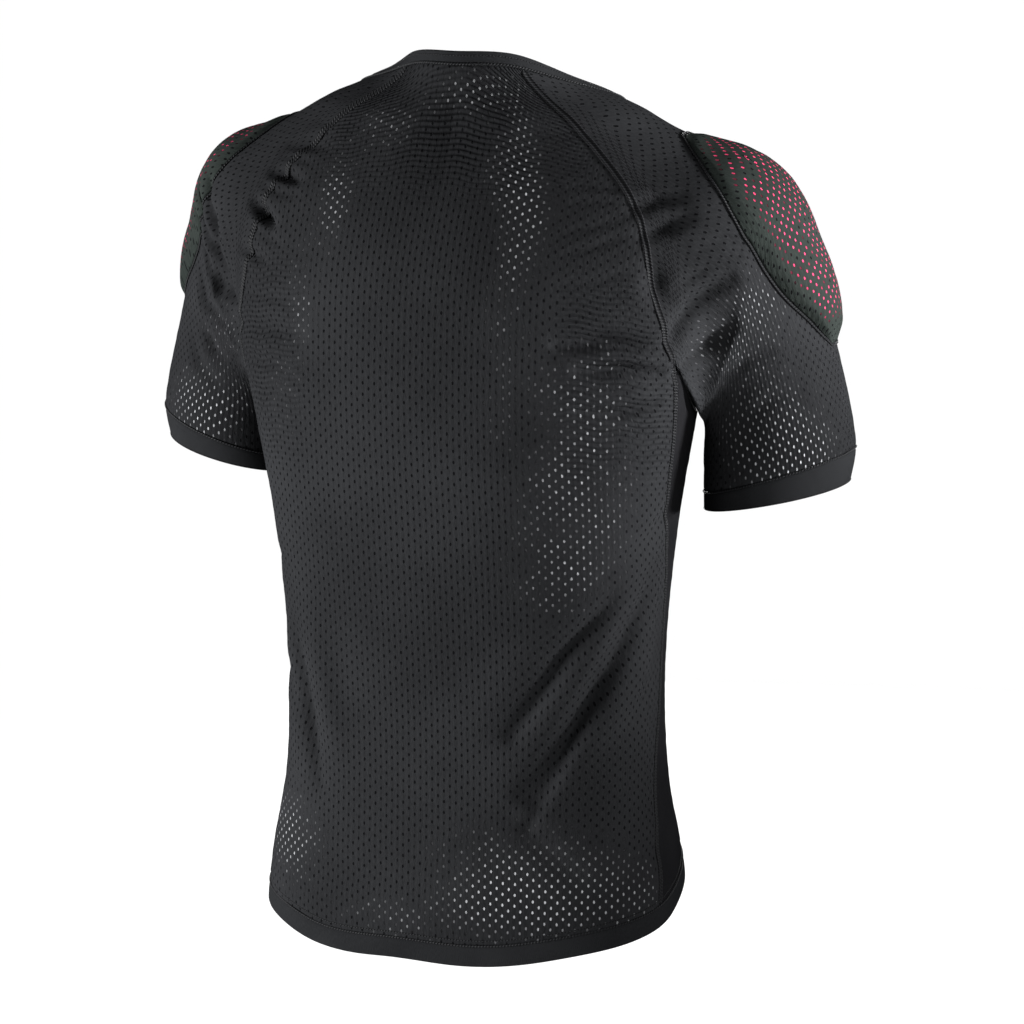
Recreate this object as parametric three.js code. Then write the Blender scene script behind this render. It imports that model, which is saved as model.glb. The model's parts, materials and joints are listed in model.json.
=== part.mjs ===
import * as THREE from "three";

// Padded base-layer shirt, worn shape, open at neck, hem and both sleeves.
// Millimetres. +Z is up, the front faces -Y and the wearer's right side is at -X.
// The origin is the middle of the neck opening at the height of the shoulder seams.

// Cloth and seams
const WALL = 1.8;
const BAND_WALL = 2.4;
const GAP = 0.32;
const HEM_BAND = 16;
const NECK_BAND = 8.5;
const NECK_GAP = 0.8;

// Cut lines of the cloth, angle in degrees from the middle of the back, 90 at the wearer's left
const NECKLINE = table("angle z",
  [-180, -66], [-165, -63], [-140, -46], [-115, -25], [-90, -10], [-55, 2], [0, 5],
  [55, 2], [90, -10], [115, -25], [140, -46], [165, -63], [180, -66]);
const HEM = table("angle z",
  [-180, -580], [-130, -582], [-110, -588], [-84, -605], [-60, -617], [-28, -632],
  [16, -635], [46, -635.5], [61, -628], [90, -618], [130, -600], [180, -580]);
// Outer edges of back and front: sleeve seam above the armpit, side seam below it
const BACK_EDGE = table("z angle",
  [2, 56], [-14, 61.5], [-36, 65.5], [-60, 66.5], [-90, 66.5], [-125, 66], [-155, 67], [-175, 69],
  [-192, 71], [-240, 76], [-300, 80], [-370, 90], [-450, 90], [-510, 83], [-600, 76]);
const FRONT_EDGE = table("z angle",
  [-27, 117], [-60, 123], [-110, 126], [-160, 125],
  [-192, 124], [-240, 120], [-300, 115], [-370, 115], [-450, 115], [-510, 111], [-600, 106]);
const ARMPIT_Z = -192;
const UNDERARM_Z = -238;
const BACK_TOP_Z = 2;
const FRONT_TOP_Z = -27;

// Level sections of the trunk: half width, depth behind and before the middle, place of the middle
const TRUNK = table("z half back front mid",
  [-700, 160, 90, 118, 26],
  [-640, 160, 90, 118, 26],
  [-580, 154, 86, 114, 26],
  [-520, 143, 83, 110, 26],
  [-460, 139, 82, 110, 27],
  [-400, 140, 84, 114, 28],
  [-320, 148, 88, 122, 30],
  [-250, 160, 92, 124, 32],
  [-190, 170, 92, 118, 32],
  [-130, 168, 88, 104, 28],
  [-80, 150, 74, 82, 18],
  [-40, 104, 58, 60, 6]);
const TRUNK_SQUARE = 2.5;
const TRUNK_TOP = -38;
const NECK = { r: 51, y: 8, low: -120 };
const YOKE = { a: [42, 2, -54], b: [162, 2, -103], r0: 50, r1: 49, deep: 1.22 };
const ARM = { a: [177, -20, -130], b: [221.85, -30.8, -360.2], r0: 54, r1: 48.6, deep: 1.08 };
const SOFT = 12;
// The shirt stands this much higher beside the neck on the wearer's left
const SHOULDER_LIFT = 6;
const AXIS_Y = 14;

// Sleeve rings from the armhole (s 0) to the cuff edge (s 1), the wearer's left sleeve
const RINGS = table("s top_x top_z under_x under_z mid back front out",
  [0.16, 118, -26, 168, -240, 8, 68, 86, 24],
  [0.32, 162, -50, 168, -246, -2, 61, 78, 20],
  [0.46, 204, -76, 165, -254, -12, 54, 66, 13],
  [0.60, 229, -122, 162, -264, -22, 55, 57, 5],
  [0.78, 251, -188, 160, -276, -27, 54, 54, 0],
  [0.92, 267, -260, 160, -296, -27, 53, 52, 0],
  [1.00, 264, -284, 160, -308, -27, 49, 48, 0]);
const RING_SQUARE = 2.1;
const SLEEVE_TURN = { neck: 32, armpit: 152 };
const START_S = 0.05;
const START_REACH = 13;
const CUFF_FROM = 0.92;
const HANG = { left: -2, right: -5 };

// Shoulder pocket on the sleeve: half its turn about the arm by ring place
// and how far its cover stands off the sleeve there
const POCKET = table("s half rise",
  [0.27, 14, 0.6], [0.30, 31, 1], [0.35, 48, 2.6], [0.40, 57, 5], [0.46, 60, 6.6], [0.52, 58, 7.6],
  [0.58, 53, 8.5], [0.65, 45, 9.5], [0.71, 33, 10], [0.755, 20, 10], [0.775, 10, 9]);
const POCKET_TURN = -5;
const POCKET_SWELL = { left: 0.85, right: 1 };
const POCKET_WALL = 1.5;
const PAD = { from: 0.40, to: 0.73, share: 0.77, under: 2.2, below_cover: 1.7 };
const CLEAR = 1.8;

// Folds: three points that each runs through, its half width and its depth (a ridge is below zero)
const FOLDS = table("ax ay az bx by bz cx cy cz width depth",
  // right armpit, back panel
  [-94, 114, -176, -124, 104, -174, -153, 83, -180, 7, 5],
  [-109, 111, -194, -134, 98, -194, -157, 78, -198, 6, 4.5],
  [-109, 110, -223, -132, 98, -225, -154, 77, -220, 5, 3],
  // left armpit, back panel
  [98, 113, -182, 126, 103, -180, 152, 84, -186, 7, 3],
  [112, 110, -206, 134, 98, -205, 156, 77, -208, 6, 2.5],
  // right sleeve, behind the arm
  [-162, 78, -181, -172, 59, -155, -198, 50, -139, 7, 5],
  [-170, 67, -200, -179, 50, -188, -198, 46, -172, 6, 4],
  // left sleeve, behind the arm
  [192, 57, -108, 195, 51, -136, 185, 50, -170, 7, 5],
  [204, 45, -145, 195, 48, -166, 164, 78, -185, 6, 4],
  [220, 30, -152, 214, 33, -176, 190, 50, -198, 6, 3.5],
  // beside the sleeve seams
  [126, 58, -57, 111, 62, -54, 95, 67, -54, 6, 3],
  [136, 67, -74, 123, 72, -75, 113, 77, -77, 6, 3],
  [150, 72, -96, 139, 79, -103, 129, 86, -108, 6, 4],
  [-135, 74, -86, -148, 67, -81, -163, 62, -80, 6, 3.5],
  [-142, 78, -104, -157, 70, -99, -172, 65, -92, 6, 4],
  [-151, 79, -128, -153, 80, -137, -156, 79, -147, 9, 4],
  // long drags over the small of the back
  [-125, 81, -359, -94, 98, -401, -59, 105, -457, 14, 5],
  [-141, 51, -360, -115, 83, -429, -72, 102, -502, 14, 6],
  [123, 77, -401, 110, 86, -457, 95, 95, -510, 13, 4],
  [96, 94, -392, 88, 98, -440, 80, 100, -482, 12, -2.5],
  // front, the same kinds
  [-104, -82, -176, -128, -64, -178, -152, -36, -186, 8, 4],
  [104, -82, -178, 128, -64, -181, 150, -38, -190, 8, 4],
  [-110, -84, -212, -132, -64, -216, -150, -40, -220, 7, 3],
  [112, -84, -214, 132, -64, -217, 150, -40, -222, 7, 3],
  [-120, -58, -372, -92, -74, -420, -56, -84, -480, 14, 4],
  [118, -58, -384, 90, -74, -440, 58, -84, -500, 14, 4],
  [196, -74, -120, 192, -72, -150, 180, -62, -184, 7, 4],
  [-196, -74, -124, -190, -72, -152, -178, -62, -186, 7, 4]);

// Mesh fineness
const LOW_ROWS = 17;
const PIT_ROWS = 8;
const PIT_Z = -250;
const BACK_HIGH = [5, 10];
const FRONT_HIGH = [3, 6];
const BACK_COLS = 24;
const FRONT_COLS = 14;
const SIDE_COLS = 5;
const NECK_COLS = 5;
const SLEEVE_S = [0, 0.025, 0.05, 0.09, 0.125, 0.16, 0.21, 0.265, 0.32, 0.37, 0.415, 0.46, 0.51, 0.555, 0.60,
  0.66, 0.72, 0.78, 0.85, 0.92];

function table(columns, ...rows) {
  const names = columns.split(" ");
  return rows.map((row) => Object.fromEntries(names.map((name, k) => [name, row[k]])));
}

function curve(rows, key, at) {
  // Smooth value of a column at a place in the first column
  const by = Object.keys(rows[0])[0];
  const list = rows[0][by] < rows[rows.length - 1][by] ? rows : [...rows].reverse();
  const n = list.length;
  const x = list.map((r) => r[by]);
  const y = list.map((r) => r[key]);
  const t0 = Math.min(Math.max(at, x[0]), x[n - 1]);
  let i = 0;
  while (i < n - 2 && t0 > x[i + 1]) i++;
  const slopeAt = (k) => {
    if (k === 0) return (y[1] - y[0]) / (x[1] - x[0]);
    if (k === n - 1) return (y[n - 1] - y[n - 2]) / (x[n - 1] - x[n - 2]);
    const h0 = x[k] - x[k - 1];
    const h1 = x[k + 1] - x[k];
    return ((y[k] - y[k - 1]) / h0 * h1 + (y[k + 1] - y[k]) / h1 * h0) / (h0 + h1);
  };
  const h = x[i + 1] - x[i];
  const t = (t0 - x[i]) / h;
  return (2 * t ** 3 - 3 * t ** 2 + 1) * y[i] + (t ** 3 - 2 * t ** 2 + t) * h * slopeAt(i)
    + (3 * t ** 2 - 2 * t ** 3) * y[i + 1] + (t ** 3 - t ** 2) * h * slopeAt(i + 1);
}

const rad = (d) => d * Math.PI / 180;
const add = (a, b, k = 1) => [a[0] + b[0] * k, a[1] + b[1] * k, a[2] + b[2] * k];
const sub = (a, b) => [a[0] - b[0], a[1] - b[1], a[2] - b[2]];
const dot = (a, b) => a[0] * b[0] + a[1] * b[1] + a[2] * b[2];
const len = (a) => Math.hypot(a[0], a[1], a[2]);
const unit = (a) => a.map((v) => v / (len(a) || 1));
const cross = (a, b) => [a[1] * b[2] - a[2] * b[1], a[2] * b[0] - a[0] * b[2], a[0] * b[1] - a[1] * b[0]];
const mix = (a, b, t) => a.map((v, k) => v + (b[k] - v) * t);
const clamp = (v, lo, hi) => Math.min(Math.max(v, lo), hi);
const ease = (a, b, v) => {
  const t = clamp((v - a) / (b - a), 0, 1);
  return t * t * (3 - 2 * t);
};
const softMax = (a, b) => Math.max(a, b) + SOFT * Math.log1p(Math.exp(-Math.abs(a - b) / SOFT));

function trunkField([x, y, z]) {
  const half = curve(TRUNK, "half", z);
  const dy = y - curve(TRUNK, "mid", z);
  const deep = curve(TRUNK, dy > 0 ? "back" : "front", z);
  const r = Math.hypot(x, dy) + 1e-9;
  const rho = ((Math.abs(x) / half) ** TRUNK_SQUARE + (Math.abs(dy) / deep) ** TRUNK_SQUARE) ** (1 / TRUNK_SQUARE);
  return softMax(r * (1 - 1 / (rho + 1e-9)), z - TRUNK_TOP);
}

function coneField([x, y, z], { a, b, r0, r1, deep }) {
  // Distance to a round cone about the line a-b whose sections are deeper in y
  const p = [Math.abs(x) - a[0], (y - a[1]) / deep, z - a[2]];
  const d = [b[0] - a[0], (b[1] - a[1]) / deep, b[2] - a[2]];
  const t = clamp(dot(p, d) / dot(d, d), 0, 1);
  return len(add(p, d, -t)) - (r0 + t * (r1 - r0));
}

function field(p, armsAway = 0) {
  // The worn surface: trunk, neck, yoke and arms joined softly, zero on the cloth, negative inside
  const neck = softMax(Math.hypot(p[0], p[1] - NECK.y) - NECK.r, NECK.low - p[2]);
  const q = [p[0], p[1], p[2] - SHOULDER_LIFT * ease(30, 90, p[0]) * (1 - ease(110, 185, p[0]))];
  const parts = [trunkField(p), neck, coneField(q, YOKE), coneField(q, ARM) + armsAway];
  const low = Math.min(...parts);
  return low - SOFT * Math.log(parts.reduce((sum, f) => sum + Math.exp((low - f) / SOFT), 0));
}

const torsoField = (p) => field(p, 90 * ease(180, 226, -p[2]));

function gradient(f, p) {
  return [0, 1, 2].map((k) => {
    const e = [0, 0, 0];
    e[k] = 0.5;
    return f(add(p, e)) - f(sub(p, e));
  });
}

function settle(p) {
  let q = p;
  for (let n = 0; n < 5; n++) {
    const g = gradient(field, q);
    q = add(q, g, -clamp(field(q) / Math.max(dot(g, g), 0.25), -15, 15));
  }
  return q;
}

function torso(angle, z) {
  // Point of the worn surface on the level ray from the trunk's middle at an angle from the back
  const d = [Math.sin(rad(angle)), Math.cos(rad(angle)), 0];
  const at = (r) => [d[0] * r, AXIS_Y + d[1] * r, z];
  let lo = 15;
  while (torsoField(at(lo + 8)) <= 0 && lo < 300) lo += 8;
  let hi = lo + 8;
  for (let n = 0; n < 18; n++) {
    const m = (lo + hi) / 2;
    if (torsoField(at(m)) <= 0) lo = m;
    else hi = m;
  }
  return at((lo + hi) / 2);
}

function creased(p, normal) {
  // Moves a point of the worn surface in or out by the folds near it
  let move = 0;
  for (const f of FOLDS) {
    const q = [[f.ax, f.ay, f.az], [f.bx, f.by, f.bz], [f.cx, f.cy, f.cz]];
    if (Math.abs(p[0] - f.bx) > 90 || Math.abs(p[2] - f.bz) > 110) continue;
    let best = 1e9;
    let place = 0;
    for (let k = 0; k < 2; k++) {
      const d = sub(q[k + 1], q[k]);
      const t = clamp(dot(sub(p, q[k]), d) / dot(d, d), 0, 1);
      const far = len(sub(p, add(q[k], d, t)));
      if (far < best) {
        best = far;
        place = (k + t) / 2;
      }
    }
    const shape = Math.exp(-((best / f.width) ** 2)) - 0.3 * Math.exp(-((best / f.width / 2.2) ** 2));
    move -= f.depth * shape * (0.4 + 0.6 * Math.sin(Math.PI * place));
  }
  return add(p, normal, move);
}

const hemAt = (angle) => curve(HEM, "z", ((angle + 540) % 360) - 180);
const neckAt = (angle) => curve(NECKLINE, "z", ((angle + 540) % 360) - 180);
const SIDES = { left: 1, right: -1 };

function edgeHem(edge, sign) {
  // Angle and level at which an edge of a panel meets the top of the hem band
  let z = -600;
  for (let n = 0; n < 6; n++) z = hemAt(sign * curve(edge, "angle", z)) + HEM_BAND;
  return z;
}

function lowLevels(edge, sign) {
  // Levels of an edge from the hem band up to the armpit corner
  const from = edgeHem(edge, sign);
  const out = [];
  for (let i = 0; i < LOW_ROWS; i++) out.push(from + (PIT_Z - from) * i / LOW_ROWS);
  for (let i = 0; i <= PIT_ROWS; i++) out.push(PIT_Z + (ARMPIT_Z - PIT_Z) * i / PIT_ROWS);
  return out;
}

function highLevels([pit, rest], top) {
  const split = -150;
  const out = [];
  for (let i = 1; i <= pit; i++) out.push(ARMPIT_Z + (split - ARMPIT_Z) * i / pit);
  for (let i = 1; i <= rest; i++) out.push(split + (top - split) * i / rest);
  return out;
}

function trunkPanel(edge, high, top, middle, cols) {
  // Grid of a panel about the middle angle, its two edges on the seam levels, hem and neckline
  const flip = middle === 0 ? 1 : -1;
  const sideA = [...lowLevels(edge, -flip), ...highLevels(high, top)];
  const sideB = [...lowLevels(edge, flip), ...highLevels(high, top)];
  const grid = [];
  for (let i = 0; i < sideA.length; i++) {
    const row = [];
    const uA = (sideA[i] - sideA[0]) / (top - sideA[0]);
    const uB = (sideB[i] - sideB[0]) / (top - sideB[0]);
    for (let j = 0; j <= cols; j++) {
      const w = 2 * j / cols - 1;
      const t = j / cols;
      const u = uA + (uB - uA) * t;
      let z = sideA[i] + (sideB[i] - sideA[i]) * t;
      let angle = 0;
      for (let n = 0; n < 4; n++) {
        const reach = curve(edge, "angle", z);
        angle = middle === 0 ? w * reach : 180 + w * (180 - reach);
        if (j > 0 && j < cols) z = (hemAt(angle) + HEM_BAND) * (1 - u) + neckAt(angle) * u;
      }
      row.push(torsoPoint(angle, z));
    }
    grid.push(row);
  }
  return grid;
}

function torsoPoint(angle, z) {
  const at = torso(angle, z);
  const normal = unit(gradient(torsoField, at));
  return { at: creased(at, normal), normal, angle, z };
}

function underarm(sign) {
  // Arc where the side panel and the sleeve meet, from the back corner to the front one
  const a = curve(BACK_EDGE, "angle", ARMPIT_Z);
  const b = curve(FRONT_EDGE, "angle", ARMPIT_Z);
  const out = [];
  for (let k = 0; k <= SIDE_COLS; k++) {
    const w = k / SIDE_COLS;
    const z = ARMPIT_Z + (UNDERARM_Z - ARMPIT_Z) * Math.sin(Math.PI * w);
    out.push(torsoPoint(sign * (a + (b - a) * w), z));
  }
  return out;
}

function sidePanel(sign) {
  const back = lowLevels(BACK_EDGE, sign);
  const front = lowLevels(FRONT_EDGE, sign);
  const top = underarm(sign);
  const grid = [];
  for (let i = 0; i < back.length; i++) {
    const u = (back[i] - back[0]) / (ARMPIT_Z - back[0]);
    const row = [];
    for (let j = 0; j <= SIDE_COLS; j++) {
      const w = j / SIDE_COLS;
      let z = back[i] + (front[i] - back[i]) * w;
      let angle = 0;
      for (let n = 0; n < 4; n++) {
        const a = curve(BACK_EDGE, "angle", z);
        const b = curve(FRONT_EDGE, "angle", z);
        angle = sign * (a + (b - a) * w);
        if (j > 0 && j < SIDE_COLS) z = (hemAt(angle) + HEM_BAND) * (1 - u) + top[j].z * u;
      }
      row.push(i === back.length - 1 ? top[j] : torsoPoint(angle, z));
    }
    grid.push(row);
  }
  return sign > 0 ? grid : grid.map((row) => [...row].reverse());
}

function armhole(sign) {
  // Closed loop of the sleeve's start with the turn about the arm that each point stands at
  const { neck, armpit } = SLEEVE_TURN;
  const out = [];
  const seam = (levels, edge, top, side) => levels.map((z) => {
    const share = (z - ARMPIT_Z) / (top - ARMPIT_Z);
    const turn = armpit + (neck - armpit) * share;
    return { turn: side * turn, ...torsoPoint(sign * curve(edge, "angle", z), z) };
  });
  const back = [ARMPIT_Z, ...highLevels(BACK_HIGH, BACK_TOP_Z)];
  const front = [ARMPIT_Z, ...highLevels(FRONT_HIGH, FRONT_TOP_Z)];
  out.push(...seam(back, BACK_EDGE, BACK_TOP_Z, 1).reverse());
  const arc = underarm(sign);
  for (let k = 1; k < SIDE_COLS; k++) {
    const turn = armpit + (360 - 2 * armpit) * k / SIDE_COLS;
    out.push({ turn, ...arc[k] });
  }
  out.push(...seam(front, FRONT_EDGE, FRONT_TOP_Z, -1).map((p) => ({ ...p, turn: p.turn + 360 })));
  const a = curve(FRONT_EDGE, "angle", FRONT_TOP_Z);
  const b = curve(BACK_EDGE, "angle", BACK_TOP_Z);
  for (let k = 1; k < NECK_COLS; k++) {
    const t = k / NECK_COLS;
    const angle = a + (b - a) * t;
    out.push({ turn: 360 - neck + 2 * neck * t, ...torsoPoint(sign * angle, neckAt(sign * angle)) });
  }
  // The sleeve leaves the seams square to them, and at the underarm straight out
  const n = out.length;
  return out.map((p, j) => {
    const along = sub(out[(j + 1) % n].at, out[(j + n - 1) % n].at);
    const away = unit(cross(along, p.normal)).map((v) => v * sign);
    const share = ease(-0.85, -0.35, Math.cos(rad(p.turn)));
    const start = add(add(p.at, away, START_REACH * share), p.normal, 3 * (1 - share));
    return { ...p, start: share > 0 ? mix(start, settle(start), share) : start };
  });
}

function ringPoint(r, turn, sign, hang) {
  const c = Math.cos(rad(turn));
  const s = Math.sin(rad(turn));
  const k = (Math.abs(c) ** RING_SQUARE + Math.abs(s) ** RING_SQUARE) ** (-1 / RING_SQUARE);
  const deep = s > 0 ? r.back : r.front;
  const x = (r.top_x + r.under_x) / 2 + k * c * (r.top_x - r.under_x) / 2 + r.out * s * s;
  const z = (r.top_z + r.under_z) / 2 + k * c * (r.top_z - r.under_z) / 2 + hang * r.s ** 2;
  const lift = sign > 0 ? SHOULDER_LIFT * (1 - ease(0.18, 0.44, r.s)) : 0;
  return [sign * x, r.mid + k * s * deep, z + lift];
}

function sleevePoint(start, s, sign, hang) {
  // Point of the sleeve at ring place s on the line that starts at one armhole point
  const knots = [start.at, start.start, ...RINGS.map((r) => ringPoint(r, start.turn, sign, hang))];
  const place = [0, START_S, ...RINGS.map((r) => r.s)];
  const n = knots.length;
  let i = 0;
  while (i < n - 2 && s > place[i + 1]) i++;
  const step = (k) => sub(knots[k + 1], knots[k]).map((v) => v / (place[k + 1] - place[k]));
  const slopeAt = (k) => {
    if (k === 0) return step(0);
    if (k === n - 1) return step(n - 2);
    const h0 = place[k] - place[k - 1];
    const h1 = place[k + 1] - place[k];
    return mix(step(k - 1), step(k), h0 / (h0 + h1));
  };
  const h = place[i + 1] - place[i];
  const t = (s - place[i]) / h;
  let p = [0, 0, 0];
  p = add(p, knots[i], 2 * t ** 3 - 3 * t ** 2 + 1);
  p = add(p, slopeAt(i), (t ** 3 - 2 * t ** 2 + t) * h);
  p = add(p, knots[i + 1], 3 * t ** 2 - 2 * t ** 3);
  p = add(p, slopeAt(i + 1), (t ** 3 - t ** 2) * h);
  const weight = (1 - ease(0.35, 0.62, s)) * ease(-0.85, -0.35, Math.cos(rad(start.turn)));
  return s > 0 && weight > 0 ? mix(p, settle(p), weight) : p;
}

function sleeveGrid(sign, hang, places) {
  const starts = armhole(sign);
  return places.map((s) => starts.map((p) => ({ at: sleevePoint(p, s, sign, hang), s, turn: p.turn })));
}

function withNormals(grid, wrap, sense) {
  // Sets each point's outward normal from its neighbours in the grid
  const rows = grid.length;
  const cols = grid[0].length;
  return grid.map((row, i) => row.map((p, j) => {
    const up = grid[Math.min(i + 1, rows - 1)][j].at;
    const down = grid[Math.max(i - 1, 0)][j].at;
    const next = wrap ? row[(j + 1) % cols].at : row[Math.min(j + 1, cols - 1)].at;
    const last = wrap ? row[(j + cols - 1) % cols].at : row[Math.max(j - 1, 0)].at;
    return { ...p, normal: unit(cross(sub(up, down), sub(next, last))).map((v) => v * sense) };
  }));
}

function trimmed(grid, { first = false, last = false, left = false, right = false }) {
  // Moves the named edges half a seam gap into the panel
  const pull = (p, q) => ({ ...p, at: add(p.at, unit(sub(q.at, p.at)), GAP / 2) });
  const out = grid.map((row) => [...row]);
  const n = out.length - 1;
  const m = out[0].length - 1;
  if (first) out[0] = out[0].map((p, j) => pull(p, grid[1][j]));
  if (last) out[n] = out[n].map((p, j) => pull(p, grid[n - 1][j]));
  for (let i = 0; i <= n; i++) {
    if (left) out[i][0] = pull(out[i][0], out[i][1]);
    if (right) out[i][m] = pull(out[i][m], out[i][m - 1]);
  }
  return out;
}

function walled(grid, wrap, thick) {
  // Closed sheet between the grid and the same grid moved in against its normals
  const rows = grid.length;
  const cols = grid[0].length;
  const spots = [];
  for (const row of grid) for (const p of row) spots.push(...p.at);
  grid.forEach((row, i) => row.forEach((p, j) => {
    const wall = typeof thick === "function" ? thick(i, j) : thick;
    spots.push(...add(p.at, p.normal, -wall));
  }));
  const n = rows * cols;
  const at = (i, j) => i * cols + (j % cols);
  const faces = [];
  const quad = (a, b, c, d) => faces.push(a, b, c, a, c, d);
  const across = wrap ? cols : cols - 1;
  for (let i = 0; i < rows - 1; i++) {
    for (let j = 0; j < across; j++) {
      const [a, b, c, d] = [at(i, j), at(i, j + 1), at(i + 1, j + 1), at(i + 1, j)];
      quad(a, b, c, d);
      quad(n + a, n + d, n + c, n + b);
    }
  }
  for (let j = 0; j < across; j++) {
    quad(at(0, j + 1), at(0, j), n + at(0, j), n + at(0, j + 1));
    quad(at(rows - 1, j), at(rows - 1, j + 1), n + at(rows - 1, j + 1), n + at(rows - 1, j));
  }
  if (!wrap) {
    for (let i = 0; i < rows - 1; i++) {
      quad(at(i, 0), at(i + 1, 0), n + at(i + 1, 0), n + at(i, 0));
      quad(at(i + 1, cols - 1), at(i, cols - 1), n + at(i, cols - 1), n + at(i + 1, cols - 1));
    }
  }
  const shape = new THREE.BufferGeometry();
  shape.setAttribute("position", new THREE.Float32BufferAttribute(spots, 3));
  shape.setIndex(volume(spots, faces) < 0 ? turnedOver(faces) : faces);
  return shape;
}

function volume(spots, faces) {
  let sum = 0;
  const p = (k) => [spots[3 * k], spots[3 * k + 1], spots[3 * k + 2]];
  for (let f = 0; f < faces.length; f += 3) sum += dot(p(faces[f]), cross(p(faces[f + 1]), p(faces[f + 2])));
  return sum / 6;
}

function turnedOver(faces) {
  const out = [];
  for (let f = 0; f < faces.length; f += 3) out.push(faces[f], faces[f + 2], faces[f + 1]);
  return out;
}

function pocketSheets(sleeve, swell) {
  // Pad and pocket cover on the sleeve's outer side, both from the sleeve's points moved out
  const base = withNormals(sleeve, true, outwardSense(sleeve, true));
  const places = base.map((row) => row[0].s);
  const turns = base[0].map((p) => p.turn);
  const order = turns.map((turn, j) => ({ turn: ((turn + 180) % 360) - 180, j })).sort((a, b) => a.turn - b.turn);
  const sample = (turn, s) => {
    let i = 0;
    while (i < places.length - 2 && s > places[i + 1]) i++;
    const u = (s - places[i]) / (places[i + 1] - places[i]);
    let k = 0;
    while (k < order.length - 2 && turn > order[k + 1].turn) k++;
    const v = (turn - order[k].turn) / (order[k + 1].turn - order[k].turn);
    const pick = (name) => {
      const [a, b] = [base[i][order[k].j][name], base[i][order[k + 1].j][name]];
      const [d, c] = [base[i + 1][order[k].j][name], base[i + 1][order[k + 1].j][name]];
      return u < v ? add(add(a, sub(b, a), v), sub(c, b), u) : add(add(a, sub(d, a), u), sub(c, d), v);
    };
    return { at: pick("at"), normal: unit(pick("normal")) };
  };
  const first = POCKET[0].s;
  const last = POCKET[POCKET.length - 1].s;
  const sheet = (from, to, share, rows, cols, lift) => {
    const grid = [];
    for (let i = 0; i <= rows; i++) {
      const s = from + (to - from) * i / rows;
      const v = 2 * (s - first) / (last - first) - 1;
      const row = [];
      for (let j = 0; j <= cols; j++) {
        const w = (2 * j / cols - 1) * share;
        const p = sample(POCKET_TURN + w * curve(POCKET, "half", s), s);
        const dome = ((1 - v ** 4) * (1 - w ** 4)) ** 0.8;
        const rise = curve(POCKET, "rise", s) * dome * swell;
        row.push({ at: add(p.at, p.normal, lift(rise)), normal: p.normal, rise });
      }
      grid.push(row);
    }
    return grid;
  };
  const cover = sheet(first, last, 1, 16, 12, (rise) => CLEAR + rise + POCKET_WALL);
  const top = (rise) => CLEAR + rise - PAD.below_cover;
  const pad = sheet(PAD.from, PAD.to, PAD.share, 12, 8, top);
  return {
    cover: walled(cover, false, POCKET_WALL),
    pad: walled(pad, false, (i, j) => top(pad[i][j].rise) - PAD.under),
  };
}

function outwardSense(grid, wrap) {
  const trial = withNormals(grid, wrap, 1);
  const row = trial[Math.floor(trial.length * 0.7)];
  const middle = row.reduce((sum, p) => add(sum, p.at, 1 / row.length), [0, 0, 0]);
  return row.reduce((sum, p) => sum + dot(p.normal, sub(p.at, middle)), 0) > 0 ? 1 : -1;
}

function neckRing(back, front, holes) {
  // Top edges of all pieces in one closed loop
  const topBack = back[back.length - 1];
  const topFront = front[front.length - 1];
  const left = holes.left.slice(-(NECK_COLS - 1)).reverse();
  const right = holes.right.slice(-(NECK_COLS - 1));
  return [...topBack, ...left, ...topFront, ...right];
}

function neckBand(loop) {
  const n = loop.length;
  const rows = [0, 0.5, 1].map((share) => loop.map((p, j) => {
    const along = unit(sub(loop[(j + 1) % n].at, loop[(j + n - 1) % n].at));
    let up = unit(cross(along, p.normal));
    if (up[2] < 0) up = up.map((v) => -v);
    const rise = unit(add(up, [0, 0, 1], 0.15));
    let out = unit(cross(rise, along));
    if (dot(out, p.normal) < 0) out = out.map((v) => -v);
    return { at: add(p.at, rise, NECK_GAP + NECK_BAND * share), normal: out };
  }));
  return rows;
}

function hemBand(back, front, left, right) {
  // Bottom points of the panels in one closed loop, carried down to the hem's edge
  const loop = [...back[0], ...left[0].slice(1, -1), ...front[0], ...right[0].slice(1, -1)];
  return [0, 0.5, 1].map((share) => loop.map((p) => {
    const z = hemAt(p.angle) + (HEM_BAND - GAP) * (1 - share);
    const q = torsoPoint(p.angle, z);
    return { ...q, at: add(q.at, q.normal, 0.5 * Math.sin(Math.PI * share)) };
  }));
}

function cloth(name, shape, color, roughness) {
  shape.computeVertexNormals();
  const mesh = new THREE.Mesh(shape, new THREE.MeshStandardMaterial({ color, roughness, metalness: 0 }));
  mesh.name = name;
  return mesh;
}

const MESH_CLOTH = 0x26282b;
const SMOOTH_CLOTH = 0x17181a;
const BAND_CLOTH = 0x1d1f21;
const POCKET_CLOTH = 0x2b3330;
const PAD_FOAM = 0xb2304a;

const shirt = new THREE.Group();
shirt.name = "padded_compression_shirt";

const backGrid = trunkPanel(BACK_EDGE, BACK_HIGH, BACK_TOP_Z, 0, BACK_COLS);
const frontGrid = trunkPanel(FRONT_EDGE, FRONT_HIGH, FRONT_TOP_Z, 180, FRONT_COLS);
const both = { left: true, right: true };
shirt.add(cloth("back_panel", walled(trimmed(backGrid, both), false, WALL), MESH_CLOTH, 0.85));
shirt.add(cloth("front_panel", walled(trimmed(frontGrid, both), false, WALL), MESH_CLOTH, 0.85));

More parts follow.
